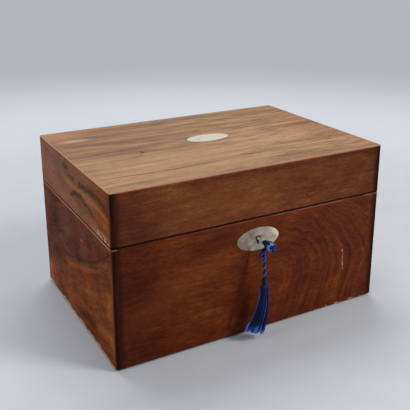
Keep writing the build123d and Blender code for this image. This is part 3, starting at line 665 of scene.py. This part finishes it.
def tube(line, radii, sides=8, tones=0.0):
    """A round thread along a line. Radii and tones are one number, or one for each point."""
    line = [Vector(point) for point in line]
    radii = radii if hasattr(radii, "__len__") else [radii] * len(line)
    tones = tones if hasattr(tones, "__len__") else [tones] * len(line)
    rings, across = [], None
    for middle, along, radius in zip(line, directions(line), radii):
        across = across or along.orthogonal()
        across = (across - along * across.dot(along)).normalized()
        other = along.cross(across)
        rings.append([middle + radius * (math.cos(a) * across + math.sin(a) * other) for a in around(sides)])
    return ringed(rings, tones)


def rounded_radii(count, radius):
    """Radii along a thread that has round ends."""
    ends = [0.45 * radius, 0.8 * radius, 0.95 * radius]
    return ends + [radius] * (count - 2 * len(ends)) + ends[::-1]


def coil(line, radius, thread, pitch, tones, start=0.0):
    """A thread wound round a line, with pitch between its turns. Its radius may depend on how far it is
    along the line."""
    wound, walked = [], 0.0
    across = (line[1] - line[0]).orthogonal().normalized()
    for before, middle, along in zip([line[0], *line], line, directions(line)):
        across = (across - along * across.dot(along)).normalized()
        walked += (middle - before).length
        angle = start + TURN * walked / pitch
        away = math.cos(angle) * across + math.sin(angle) * along.cross(across)
        wound.append(middle + (radius(walked) if callable(radius) else radius) * away)
    return tube(wound, rounded_radii(len(wound), thread), 7, tones)


def smooth_line(points, steps):
    """Points along a smooth curve through given ones."""
    points = [Vector(point) for point in points]
    ends = [2 * points[0] - points[1], *points, 2 * points[-1] - points[-2]]
    line = []
    for a, b, c, d in zip(ends, ends[1:], ends[2:], ends[3:]):
        for step in range(steps):
            t = step / steps
            bend = (2 * a - 5 * b + 4 * c - d) * t * t + (3 * b - a - 3 * c + d) * t ** 3
            line.append(0.5 * (2 * b + (c - a) * t + bend))
    return line + [points[-1]]


def make_piece(name, shells, material, body, slot, *replaced):
    """One object made of several shells, in millimetres."""
    points, faces, tones = [], [], []
    for shell_points, shell_faces, shell_tones in shells:
        faces += [tuple(index + len(points) for index in face) for face in shell_faces]
        points += [Vector(point) * MM for point in shell_points]
        tones += shell_tones
    mesh = bpy.data.meshes.new(name)
    mesh.from_pydata(points, [], faces)
    mesh.attributes.new("tone", "FLOAT", "POINT").data.foreach_set("value", tones)
    mesh.polygons.foreach_set("use_smooth", [True] * len(faces))
    mesh.materials.append(material)
    mesh.validate()
    mesh.update()
    piece = bpy.data.objects.new(name, mesh)
    scene.collection.objects.link(piece)
    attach(piece, body)
    if replaced:
        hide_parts(*replaced)
    return piece


# The tassel's cord comes first: two strands twisted round its route of (x, z) points

CORD_ROUTE = [(-2.0, 98.0), (-2.8, 95.0), (-2.0, 79.5), (-1.5, 64.1)]
STRAND_RADIUS = 0.86
STRAND_OFFSET = 0.76
TWIST_PITCH = 7.4

silk = tassel_silk("tassel_silk", (2, 5, 24), (7, 36, 120), (96, 152, 238))
dark_silk = tassel_silk("tassel_dark_silk", (2, 3, 18), (4, 9, 42), (24, 52, 126))


def nurbs_line(route):
    """The points of the cord's own smooth curve, a NURBS spline with the route as its control points."""
    curve = bpy.data.curves.new("cord_route", "CURVE")
    curve.dimensions = "3D"
    curve.resolution_u = 16
    spline = curve.splines.new("NURBS")
    spline.points.add(len(route) - 1)
    for point, (x, z) in zip(spline.points, route):
        point.co = (x * MM, TASSEL_Y * MM, z * MM, 1)
    spline.order_u = 3
    spline.use_endpoint_u = True
    holder = bpy.data.objects.new("cord_route", curve)
    scene.collection.objects.link(holder)
    bpy.context.view_layer.update()
    seen = holder.evaluated_get(bpy.context.evaluated_depsgraph_get())
    line = [vertex.co / MM for vertex in bpy.data.meshes.new_from_object(seen).vertices]
    bpy.data.objects.remove(holder)
    return line


def evenly(line, step):
    """The same line with its points a fixed step apart."""
    places, walked = [line[0]], 0.0
    for a, b in zip(line, line[1:]):
        length = (b - a).length
        while walked + length >= step:
            a = a + (b - a) * ((step - walked) / length)
            length = (b - a).length
            walked = 0.0
            places.append(a)
        walked += length
    return places + [line[-1]] if (places[-1] - line[-1]).length > step / 3 else places


cord_line = evenly(nurbs_line(CORD_ROUTE), 0.35)
cord_end = cord_line[-1]
cord_down = (cord_line[-1] - cord_line[-6]).normalized()
cord = make_piece(
    "tassel_twisted_cord",
    [coil(cord_line, STRAND_OFFSET, STRAND_RADIUS, TWIST_PITCH, tone, start)
     for start, tone in ((0.0, 0.58), (math.pi, 0.12))],
    silk, "tassel", "tassel_silk", "tassel_cord",
)

BAND_LENGTH, BAND_RADIUS, BAND_THREAD = 5.6, 2.0, 0.55
band_line = [cord_end + cord_down * (step * 0.1) for step in range(int(BAND_LENGTH / 0.1) + 1)]
band = make_piece(
    "tassel_band_winding",
    [coil(band_line, BAND_RADIUS, BAND_THREAD, 0.98, 0.4),
     tube(band_line[::8], 1.9, 16, 0.05)],
    dark_silk, "tassel", "tassel_silk", "tassel_band",
)

SKIRT_LENGTH, SKIRT_LEAN, SKIRT_TILT = 49.6, 10.4, math.radians(22.0)
SKIRT_SPREAD, SKIRT_DEPTH = 11.6, 5.6
NECK_RADIUS, SHOULDER_RADIUS, SHOULDER_DROP = 2.0, 3.9, 5.0
SKIRT_THREADS, THREAD_RADIUS, THREAD_STEPS = 180, 0.36, 14
SUNFLOWER_ANGLE = 2.39996
CLUMPS = 4.6
PALE_TIP = 0.82


def skirt_threads():
    """Threads that leave the knot, swell over its end and spread in clumps to a leaning, pale foot."""
    dice = random.Random(31)
    neck = cord_end + cord_down * (BAND_LENGTH - 0.8)
    clump_tones = [dice.random() for _ in range(32)]
    shells = []
    for number in range(SKIRT_THREADS):
        share = math.sqrt((number + 0.5) / SKIRT_THREADS)
        angle = number * SUNFLOWER_ANGLE
        side, front = share * math.cos(angle), share * math.sin(angle)
        length = SKIRT_LENGTH * (1 + dice.uniform(-0.05, 0.03) - 0.02 * max(0.0, side))
        sway = dice.uniform(-0.9, 0.9)
        clump = round(side * CLUMPS)
        in_clump = clump_tones[clump + 5 + 11 * (front > 0) + 3 * (front < -0.4)]
        bright = 0.7 * in_clump ** 3 + 0.4 * dice.random() ** 3
        line, tones = [], []
        for step in range(THREAD_STEPS + 1):
            t = step / THREAD_STEPS
            down = length * t
            if down < SHOULDER_DROP:
                bulge = math.sin(down / SHOULDER_DROP * math.pi / 2)
                spread = depth = NECK_RADIUS + (SHOULDER_RADIUS - NECK_RADIUS) * bulge
                flare = 0.0
            else:
                flare = (down - SHOULDER_DROP) / (SKIRT_LENGTH - SHOULDER_DROP)
                spread = SHOULDER_RADIUS + (SKIRT_SPREAD - SHOULDER_RADIUS) * flare ** 1.9
                depth = SHOULDER_RADIUS + (SKIRT_DEPTH - SHOULDER_RADIUS) * flare ** 1.3
            out = spread * (side + (clump / CLUMPS - side) * 0.55 * flare)
            tilt = SKIRT_TILT * flare
            line.append((
                neck.x - SKIRT_LEAN * flare ** 2.0 + out * math.cos(tilt) + sway * math.sin(3 * t),
                neck.y + depth * front + 0.5 * sway * math.cos(4 * t),
                neck.z - down - out * math.sin(tilt),
            ))
            # Painted light in the tone: bright clumps stand for highlights, the left side is lighter and the
            # right side darker; the tone also falls towards the foot.
            lit = 1.25 * bright * (1 - 0.3 * flare) * (1.1 - 0.5 * (side > 0.3)) + 0.08 * max(0.0, -side)
            tip = max(0.0, t - PALE_TIP) / (1 - PALE_TIP)
            tones.append(min(1.0, lit + (0.5 + 0.5 * in_clump) * tip))
        shells.append(tube(line, THREAD_RADIUS, 5, tones))
    return shells


skirt = make_piece("tassel_skirt_threads", skirt_threads(), silk, "tassel", "tassel_silk", "tassel_skirt")

LOOP = [
    (-2.4, -120.0, 95.8), (-4.6, -121.0, 95.4), (-7.0, -121.4, 93.6), (-8.0, -121.2, 91.0),
    (-7.0, -120.8, 88.8), (-5.2, -120.6, 88.6), (-2.8, -120.2, 90.6),
]
loop_line = smooth_line(LOOP, 6)
loop = make_piece(
    "tassel_side_loop",
    [tube([point + Vector((0, way * 0.8, way * 0.5)) for point in loop_line],
          rounded_radii(len(loop_line), 0.95), 8, tone) for way, tone in ((-1, 0.5), (1, 0.2))],
    silk, "tassel", "tassel_silk",
)
[tuple(point * MM) for point in cord_line]


# Silk hitched round the key's bow. out is how far a point is in front of the front face.

def by_key(out, across=0.0, up=0.0):
    """A point this far out and this far from the key's axis."""
    return Vector((across, -HALF_DEPTH - out, KEY_Z + up))


SILK_BACK = 12.6
WRAP_RADIUS, WRAP_MIDDLE, WRAP_REACH = 3.6, 5.0, 7.0


def sag(out):
    """How far the silk hangs below the key's axis."""
    return 0.05 * (out - SILK_BACK)


def hitch_loops(count=9):
    """The silk's core: fat dark loops along the bow, whose ends are painted pale as a highlight and show in
    front of the wraps.
    """
    dice = random.Random(7)
    shells = []
    for number in range(count):
        angle = TURN * number / count + dice.uniform(-0.15, 0.15)
        reach = 28.2 + dice.uniform(-2.0, 1.2)
        c, s = math.cos(angle), math.sin(angle)
        profile = [(SILK_BACK, 1.4), (14.6, 2.3), (17.6, 2.7), (21.5, 2.8), (reach - 1.8, 2.6), (reach, 1.7),
                   (reach - 1.2, 0.8), (21.0, 0.4)]
        line = smooth_line([by_key(out, spread * c, spread * s - sag(out)) for out, spread in profile], 5)
        pale = dice.uniform(0.6, 1.1)
        tones = [min(1.0, 0.02 + pale * (step / len(line)) ** 2) for step in range(len(line))]
        shells.append(tube(line, rounded_radii(len(line), dice.uniform(0.9, 1.15)), 9, tones))
    return shells


def hitch_wraps():
    """Turns of silk round the bow: dark by the plate, cobalt in the middle and pale at the end as a painted
    highlight, with painted glints.
    """
    dice = random.Random(11)
    line = [by_key(out, 0, -sag(out)) for out in (15.4 + 0.1 * step for step in range(115))]
    lumps = [dice.uniform(-0.35, 0.35) for _ in range(9)]
    glints = [dice.uniform(-0.25, 0.3) for _ in range(9)]

    def swell(walked):
        fullness = max(0.1, 1 - ((walked - WRAP_MIDDLE) / WRAP_REACH) ** 2)
        return WRAP_RADIUS * math.sqrt(fullness) + lumps[int(walked / 1.5)]

    tones = [1.25 * step / len(line) - 0.1 + glints[step // 15] for step in range(len(line))]
    return coil(line, swell, 0.95, 2.15, [min(1.0, max(0.03, tone)) for tone in tones])


make_piece("tassel_hitch_loops", hitch_loops() + [hitch_wraps()], silk, "key", "tassel_silk", "tassel_hitch")
binding_line = [by_key(10.6 + 0.1 * step) for step in range(51)]
make_piece(
    "tassel_hitch_binding",
    [coil(binding_line, lambda walked: 1.9 + 0.1 * walked, 0.55, 1.05, 0.2),
     coil(binding_line, lambda walked: 2.2 + 0.1 * walked, 0.42, -3.1, 0.8)],
    dark_silk, "key", "tassel_silk",
)


# Soft linings and pads

blue_velvet = velvet("blue_velvet", (26, 34, 84), (48, 60, 128))


def panel(low, high, facing, rise, step):
    """A shell that fills a box. Its back is flat, and it rises on the side that it faces to rise(...)
    times its thickness, given the place from the panel's middle and the distance to its nearest edge."""
    axis = "xyz".index(facing[1])
    forward = facing[0] == "+"
    a, b = (n for n in range(3) if n != axis)
    back, front = (low[axis], high[axis]) if forward else (high[axis], low[axis])

    def spaced(side):
        """Places along a side, closer together near its two ends."""
        count = max(4, round((high[side] - low[side]) / step))
        for t in (number / count for number in range(count + 1)):
            eased = 0.5 - 0.5 * math.cos(math.pi * t)
            yield low[side] + (high[side] - low[side]) * (0.6 * t + 0.4 * eased)

    def at(place_a, place_b, lift):
        place = [0.0, 0.0, 0.0]
        place[a], place[b], place[axis] = place_a, place_b, back + (front - back) * lift
        return place

    places_a, places_b = list(spaced(a)), list(spaced(b))
    middle_a, middle_b = (low[a] + high[a]) / 2, (low[b] + high[b]) / 2
    points = []
    for pa in places_a:
        for pb in places_b:
            edge = max(0.0, min(pa - low[a], high[a] - pa, pb - low[b], high[b] - pb))
            points.append(at(pa, pb, rise(pa - middle_a, pb - middle_b, edge)))
    rows, columns = len(places_a) - 1, len(places_b) - 1
    across = columns + 1
    faces = []
    for corner in (i * across + j for i in range(rows) for j in range(columns)):
        faces.append((corner, corner + across, corner + across + 1, corner + 1))
    rim = [
        *range(columns),
        *(i * across + columns for i in range(rows)),
        *(rows * across + j for j in range(columns, 0, -1)),
        *(i * across for i in range(rows, 0, -1)),
    ]
    start = len(points)
    points += [at(points[index][a], points[index][b], 0.0) for index in rim]
    for number, index in enumerate(rim):
        after = (number + 1) % len(rim)
        faces.append((index, rim[after], start + after, start + number))
    faces.append(tuple(range(start, start + len(rim))))
    if (axis == 1) == forward:
        faces = [face[::-1] for face in faces]
    return points, faces, [0.0] * len(points)


def cushion_rise(edge_width, crown, sides=0.35, lumps=0.02):
    """A rise with rounded edges and a low crown."""
    def rise(a, b, edge):
        t = min(1.0, edge / edge_width)
        rounding = math.sqrt(1 - (1 - t) ** 2)
        lump = noise.noise(Vector((a, b, 3.0)) * 0.06) * lumps
        swell = crown * (1 - math.exp(-edge / (4 * edge_width)))
        return sides + (1 - sides - crown) * rounding + swell + lump * rounding
    return rise


def soft(name, boxes, facing, rise, step, body, replaced, fill):
    """A padded piece made of one panel for each (low, high) box."""
    shells = [panel(low, high, facing, rise, step) for low, high in boxes]
    piece = make_piece(name, shells, blue_velvet, body, "velvet", replaced)
    return piece


def line_walls(half, body, outer, inner, low, high, replaced):
    """Four velvet linings between an outer and an inner (x, y). The side ones end at the other two."""
    (out_x, out_y), (in_x, in_y) = outer, inner
    for side, start, end, facing in (
        ("front", (-out_x, -out_y), (out_x, -in_y), "+y"),
        ("back", (-out_x, in_y), (out_x, out_y), "-y"),
        ("left", (-out_x, -in_y), (-in_x, in_y), "+x"),
        ("right", (in_x, -in_y), (out_x, in_y), "-x"),
    ):
        box = ((*start, low), (*end, high))
        rise = cushion_rise(1.2, 0.04, 0.45, 0.01)
        soft(f"{half}_velvet_{side}", [box], facing, rise, 4, body, replaced.format(side=side), 0.95)


BASE_FLOOR, LIP_TOP = 8.5, 125.2
line_walls("base", "case", (140.6, 94.6), (138.0, 92.0), BASE_FLOOR, LIP_TOP, "base_lining_{side}")
soft("base_velvet_floor", [((-137.8, -91.8, BASE_FLOOR), (137.8, 91.8, 11.5))], "+z",
     cushion_rise(4, 0.15), 4, "case", "base_floor_pad", 0.7)
line_walls("lid", "lid", (141, 95), (138.5, 92.5), 126.5, 166.5, "lid_wall_linings")


# The lid's tufted pad

TUFT = 46.0
PAD_LOW, PAD_HIGH = (-138.4, -92.4, 158.5), (138.4, 92.4, 166.5)
PAD_PRESSURE, PAD_FARTHEST = 4.0, 2.5
STRETCHING, BENDING = 8, 0.05
BUTTON_RADIUS, BUTTON_HEIGHT, BUTTON_BACK = 3.4, 2.2, 164.1


def off_crease(a, b):
    """0 on the creases that run from button to button, and 1 in the middle of each diamond."""
    p, q = (a + b) / TUFT, (a - b) / TUFT
    return abs(math.cos(math.pi * p) * math.cos(math.pi * q))


def tufted(a, b, edge):
    """Diamond puffs between the creases."""
    border = min(1.0, edge / 5.0)
    rounding = math.sqrt(1 - (1 - border) ** 2)
    lump = 0.01 * noise.noise(Vector((a, b, 8.0)) * 0.1)
    return 0.2 + 0.8 * rounding * (0.16 + 0.84 * off_crease(a, b) ** 0.6) + lump


def tied_down(place):
    """Where the lid pad is fixed: its back, its border and its creases."""
    border = min(PAD_HIGH[0] - abs(place.x), PAD_HIGH[1] - abs(place.y))
    return place.z > PAD_HIGH[2] - 0.3 or border < 1.2 or off_crease(place.x, place.y) < 0.07


def plump(piece, is_held, pressure, farthest, frames=20):
    """Fills a pad by cloth simulation, with the points that is_held names fixed and none moved farther
    than farthest, in millimetres. The result is written into the mesh."""
    mesh = piece.data
    held = piece.vertex_groups.new(name="held")
    held.add([vertex.index for vertex in mesh.vertices if is_held(vertex.co / MM)], 1.0, "REPLACE")
    cloth = piece.modifiers.new("cloth", "CLOTH")
    cloth.point_cache.frame_start, cloth.point_cache.frame_end = 1, frames
    settings = cloth.settings
    settings.vertex_group_mass = held.name
    settings.use_pressure = True
    settings.uniform_pressure_force = pressure
    settings.effector_weights.gravity = 0
    settings.tension_stiffness = settings.compression_stiffness = settings.shear_stiffness = STRETCHING
    settings.bending_stiffness = BENDING
    for number in range(1, frames + 1):
        scene.frame_set(number)
    seen = piece.evaluated_get(bpy.context.evaluated_depsgraph_get())
    filled = [vertex.co.copy() for vertex in seen.data.vertices]
    piece.modifiers.remove(cloth)
    piece.vertex_groups.remove(held)
    for vertex, place in zip(mesh.vertices, filled):
        moved = place - vertex.co
        vertex.co += moved * min(1.0, farthest * MM / max(moved.length, 1e-9))
    mesh.update()
    scene.frame_set(1)


def pad_button(x, y, rings=5, sides=16):
    """A velvet-covered button pulled into the pad, as a low dome."""
    dome = []
    for lean in (math.pi / 2 * ring / rings for ring in range(1, rings + 1)):
        out, z = BUTTON_RADIUS * math.sin(lean), BUTTON_BACK - BUTTON_HEIGHT * math.cos(lean)
        dome.append([(x + out * math.cos(a), y + out * math.sin(a), z) for a in around(sides)])
    points, faces, tones = ringed(dome)
    faces.pop(-2)
    faces += [(len(points), (side + 1) % sides, side) for side in range(sides)]
    return points + [(x, y, BUTTON_BACK - BUTTON_HEIGHT)], faces, tones + [0.0]


lid_pad = soft("lid_tufted_pad", [(PAD_LOW, PAD_HIGH)], "-z", tufted, 2.4, "lid", "lid_pad", 0.85)
plump(lid_pad, tied_down, PAD_PRESSURE, PAD_FARTHEST)
buttons = [
    pad_button(column * TUFT / 2, row * TUFT / 2)
    for column in range(-5, 6) for row in range(-3, 4) if (column + row) % 2
]
make_piece("lid_pad_buttons", buttons, blue_velvet, "lid", "velvet")


# Tray pads, ring rolls and ribbon tabs

CELL_X, CELL_Y = 132.4, 86.4
CELL_FLOOR, CELL_PAD_TOP, GAP = 94.2, 96.2, 0.4
CELLS = [
    ((-CELL_X, -46.8), (20, CELL_Y)), ((-42.8, 42.8), (20, CELL_Y)), ((46.8, CELL_X), (20, CELL_Y)),
    ((-CELL_X, -42), (-CELL_Y, 16)), ((-38, 38), (-CELL_Y, 16)),
]
cell_boxes = [
    ((left + GAP, front + GAP, CELL_FLOOR), (right - GAP, back - GAP, CELL_PAD_TOP))
    for (left, right), (front, back) in CELLS
]
soft("tray_velvet_pads", cell_boxes, "+z", cushion_rise(2.5, 0.2, 0.3, 0.05), 4, "tray", "tray_pads", 0.6)

ROLL_X, ROLL_RADIUS, ROLL_COUNT = (42.4, 132.0), 6.6, 6
ROLL_PITCH = (CELL_Y + 16) / ROLL_COUNT


def ring_roll(number, steps=40):
    """A stuffed roll: round, a little flattened on the tray, with gathered ends."""
    y = -CELL_Y + ROLL_PITCH * (number + 0.5)
    rings = []
    for t in (step / steps for step in range(steps + 1)):
        x = ROLL_X[0] + (ROLL_X[1] - ROLL_X[0]) * (0.5 - 0.5 * math.cos(math.pi * t))
        end = min(x - ROLL_X[0], ROLL_X[1] - x)
        swell = math.sqrt(1 - (1 - min(1.0, (end + 0.15) / 4.5)) ** 2)
        ring = []
        for angle in around(28):
            lump = 1 + 0.03 * noise.noise(Vector((x * 0.09, math.cos(angle), math.sin(angle) + number)))
            radius = ROLL_RADIUS * swell * lump * 0.97
            z = CELL_FLOOR + ROLL_RADIUS + max(radius * math.sin(angle), -ROLL_RADIUS * 0.97)
            ring.append((x, y + radius * math.cos(angle), z))
        rings.append(ring)
    return ringed(rings)


rolls = make_piece(
    "tray_velvet_ring_rolls", [ring_roll(number) for number in range(ROLL_COUNT)],
    blue_velvet, "tray", "velvet", "tray_ring_rolls",
)

TAB_WALL, TAB_MIDDLE, TAB_HALF_WIDTH, TAB_HALF_THICK = 132.3, 29.0, 6.8, 0.05


def ribbon_tab(side, cells=10):
    """A ribbon's two layers, fixed to the wall at the bottom and folded over in a soft loop at the top."""
    profile = [(0.0, 103.6), (0.0, 110.0), (0.05, 116.0), (0.25, 118.9), (0.42, 119.6), (0.6, 118.8),
               (0.66, 116.0), (0.7, 111.0), (0.62, 107.6), (0.7, 104.2)]
    line = smooth_line([(side * (TAB_WALL - inward), 0.0, z) for inward, z in profile], 5)
    widths = [Vector((0, TAB_MIDDLE + TAB_HALF_WIDTH * (2 * n / cells - 1), 0)) for n in range(cells + 1)]
    rings = []
    for place, along in zip(line, directions(line)):
        out = along.cross(Vector((0, 1, 0))) * TAB_HALF_THICK
        rings.append([place - out + y for y in widths] + [place + out + y for y in reversed(widths)])
    return ringed(rings)


tabs = make_piece(
    "tray_ribbon_tabs", [ribbon_tab(-1), ribbon_tab(1)], ribbon_silk(), "tray", "ribbon", "tray_lift_tabs"
)


# The baize under the case

def felt_rise(a, b, edge):
    """A pressed edge and a slightly uneven face."""
    pressed = 0.55 + 0.45 * min(1.0, edge / 1.5) ** 0.5
    return pressed + 0.02 * noise.noise(Vector((a, b, 5.0)) * 0.15)


low, high = ([corner / MM for corner in corners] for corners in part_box("base_baize"))
baize = make_piece(
    "base_felt_sheet", [panel(low, high, "-z", felt_rise, 6)],
    felt("baize_felt", (12, 20, 15), (28, 42, 32)), "case", "baize", "base_baize",
)


# Materials of the CAD pieces

SIDES = ("front", "back", "left", "right")
PLAQUE_SHADES = [(178, 168, 148), (196, 188, 167), (189, 193, 174), (217, 211, 194)]
# The escutcheon's shades are darker than the plaque's: painted shade for the front, which is less lit than
# the top.
ESCUTCHEON_SHADES = [(122, 106, 90), (146, 134, 118), (172, 160, 141), (214, 201, 177)]
by_material = {
    front_veneer(): ["base_front_veneer", "lid_front_veneer"],
    left_veneer(): ["base_left_veneer", "lid_left_veneer"],
    plain_side_veneer("veneer_back", True, 11.0): ["base_back_veneer", "lid_back_veneer"],
    plain_side_veneer("veneer_right", False, 23.0): ["base_right_veneer", "lid_right_veneer"],
    top_veneer(): ["lid_top_veneer"],
    ebonised_wood(): ["base_corner_strips", "lid_corner_strips"],
    plain_wood("carcass_board", (112, 74, 44), (168, 122, 80), 0.05): [
        "base_bottom_board", "lid_top_board",
        *(f"{half}_{side}_board" for half in ("base", "lid") for side in SIDES),
    ],
    plain_wood("tray_board", (84, 42, 24), (132, 78, 46), 0.2): [
        "tray_walls", "tray_bottom", "tray_dividers", "tray_bearers",
    ],
    pearl("pearl_plaque", "y", PLAQUE_SHADES): ["lid_plaque"],
    pearl("pearl_escutcheon", "z", ESCUTCHEON_SHADES, 0.010): ["escutcheon"],
    metal("aged_brass", (150, 108, 52), (214, 178, 104), 0.22): [
        "lock_back_plate", "lock_cap", "lock_bolt", "link_plate",
        *(f"hinge_{side}_{half}_leaf" for side in ("left", "right") for half in ("base", "lid")),
    ],
    metal("worn_steel", (176, 166, 150), (244, 238, 224), 0.3, 0.7): [
        "key", "lock_drill_pin", "lock_screws", "lock_bolt_spring", "hinge_pins", "hinge_base_screws",
        "hinge_lid_screws", "link_plate_screws",
    ],
}
for material, names in by_material.items():
    for name in names:
        nodes[name].data.materials.clear()
        nodes[name].data.materials.append(material)


# Floor, lamps and world

FAR_COLOUR = (180, 184, 190)
ROOM_LIGHT = (222, 228, 236)


def make_floor():
    """A plain floor that takes the world's colour far away, so that no horizon shows."""
    mesh = bpy.data.meshes.new("floor")
    mesh.from_pydata([(-6, -6, 0), (6, -6, 0), (6, 8, 0), (-6, 8, 0)], [], [(0, 1, 2, 3)])
    s = Shader("floor")
    away = distance(s.x, s.y)
    shade = s.shades(s.noise(s.x * 0.02, s.y * 0.02, 0.0, 3), (0.3, 190, 193, 198), (0.7, 194, 197, 202))
    shade.cover((226, 228, 232), away.rise(400, 1200))
    mesh.materials.append(s.finish(Base_Color=shade, Roughness=0.6, Specular_IOR_Level=0.3))
    path = s.node("ShaderNodeLightPath")
    seen = any_of(Field(s, path.outputs["Is Camera Ray"]), Field(s, path.outputs["Is Glossy Ray"]))
    far = s.node("ShaderNodeEmission", colour(*FAR_COLOUR))
    mixed = s.node("ShaderNodeMixShader", away.rise(600, 1500) * seen, s.surface.outputs[0], far.outputs[0])
    s.tree.links.new(mixed.outputs[0], s.tree.nodes["Material Output"].inputs["Surface"])
    floor = bpy.data.objects.new("floor", mesh)
    scene.collection.objects.link(floor)


def make_lamp(name, place, size, watts, tone):
    data = bpy.data.lights.new(name, "AREA")
    data.shape = "RECTANGLE"
    data.size, data.size_y = size
    data.energy = watts
    data.color = tone
    lamp = bpy.data.objects.new(name, data)
    scene.collection.objects.link(lamp)
    lamp.location = place
    aim = Vector((0, 0, 0.08)) - Vector(place)
    lamp.rotation_mode = "QUATERNION"
    lamp.rotation_quaternion = aim.to_track_quat("-Z", "Y")


def make_world():
    """A pale room: dimmer as a light on the object than it looks to the camera and in reflections."""
    world = bpy.data.worlds.new("world")
    scene.world = world
    world.use_nodes = True
    tree = world.node_tree
    tree.nodes.clear()
    path, either, seen, light, mixed, out = (
        tree.nodes.new(f"ShaderNode{kind}")
        for kind in ("LightPath", "Math", "Background", "Background", "MixShader", "OutputWorld")
    )
    either.operation = "MAXIMUM"
    for background, shade, strength in ((seen, FAR_COLOUR, 1.0), (light, ROOM_LIGHT, 0.4)):
        background.inputs["Color"].default_value = colour(*shade)
        background.inputs["Strength"].default_value = strength
    for output, socket in (
        (path.outputs["Is Camera Ray"], either.inputs[0]),
        (path.outputs["Is Glossy Ray"], either.inputs[1]),
        (either.outputs[0], mixed.inputs[0]),
        (light.outputs[0], mixed.inputs[1]),
        (seen.outputs[0], mixed.inputs[2]),
        (mixed.outputs[0], out.inputs[0]),
    ):
        tree.links.new(output, socket)


make_floor()
make_lamp("key_lamp", (1.1, -1.25, 1.3), (0.6, 0.6), 25, (1.0, 0.97, 0.93))
make_lamp("top_lamp", (0.1, 0.9, 1.9), (1.6, 1.0), 26, (0.96, 0.98, 1.0))
make_lamp("side_lamp", (-1.7, -0.3, 0.9), (1.0, 1.2), 9, (1.0, 0.98, 0.96))
make_world()
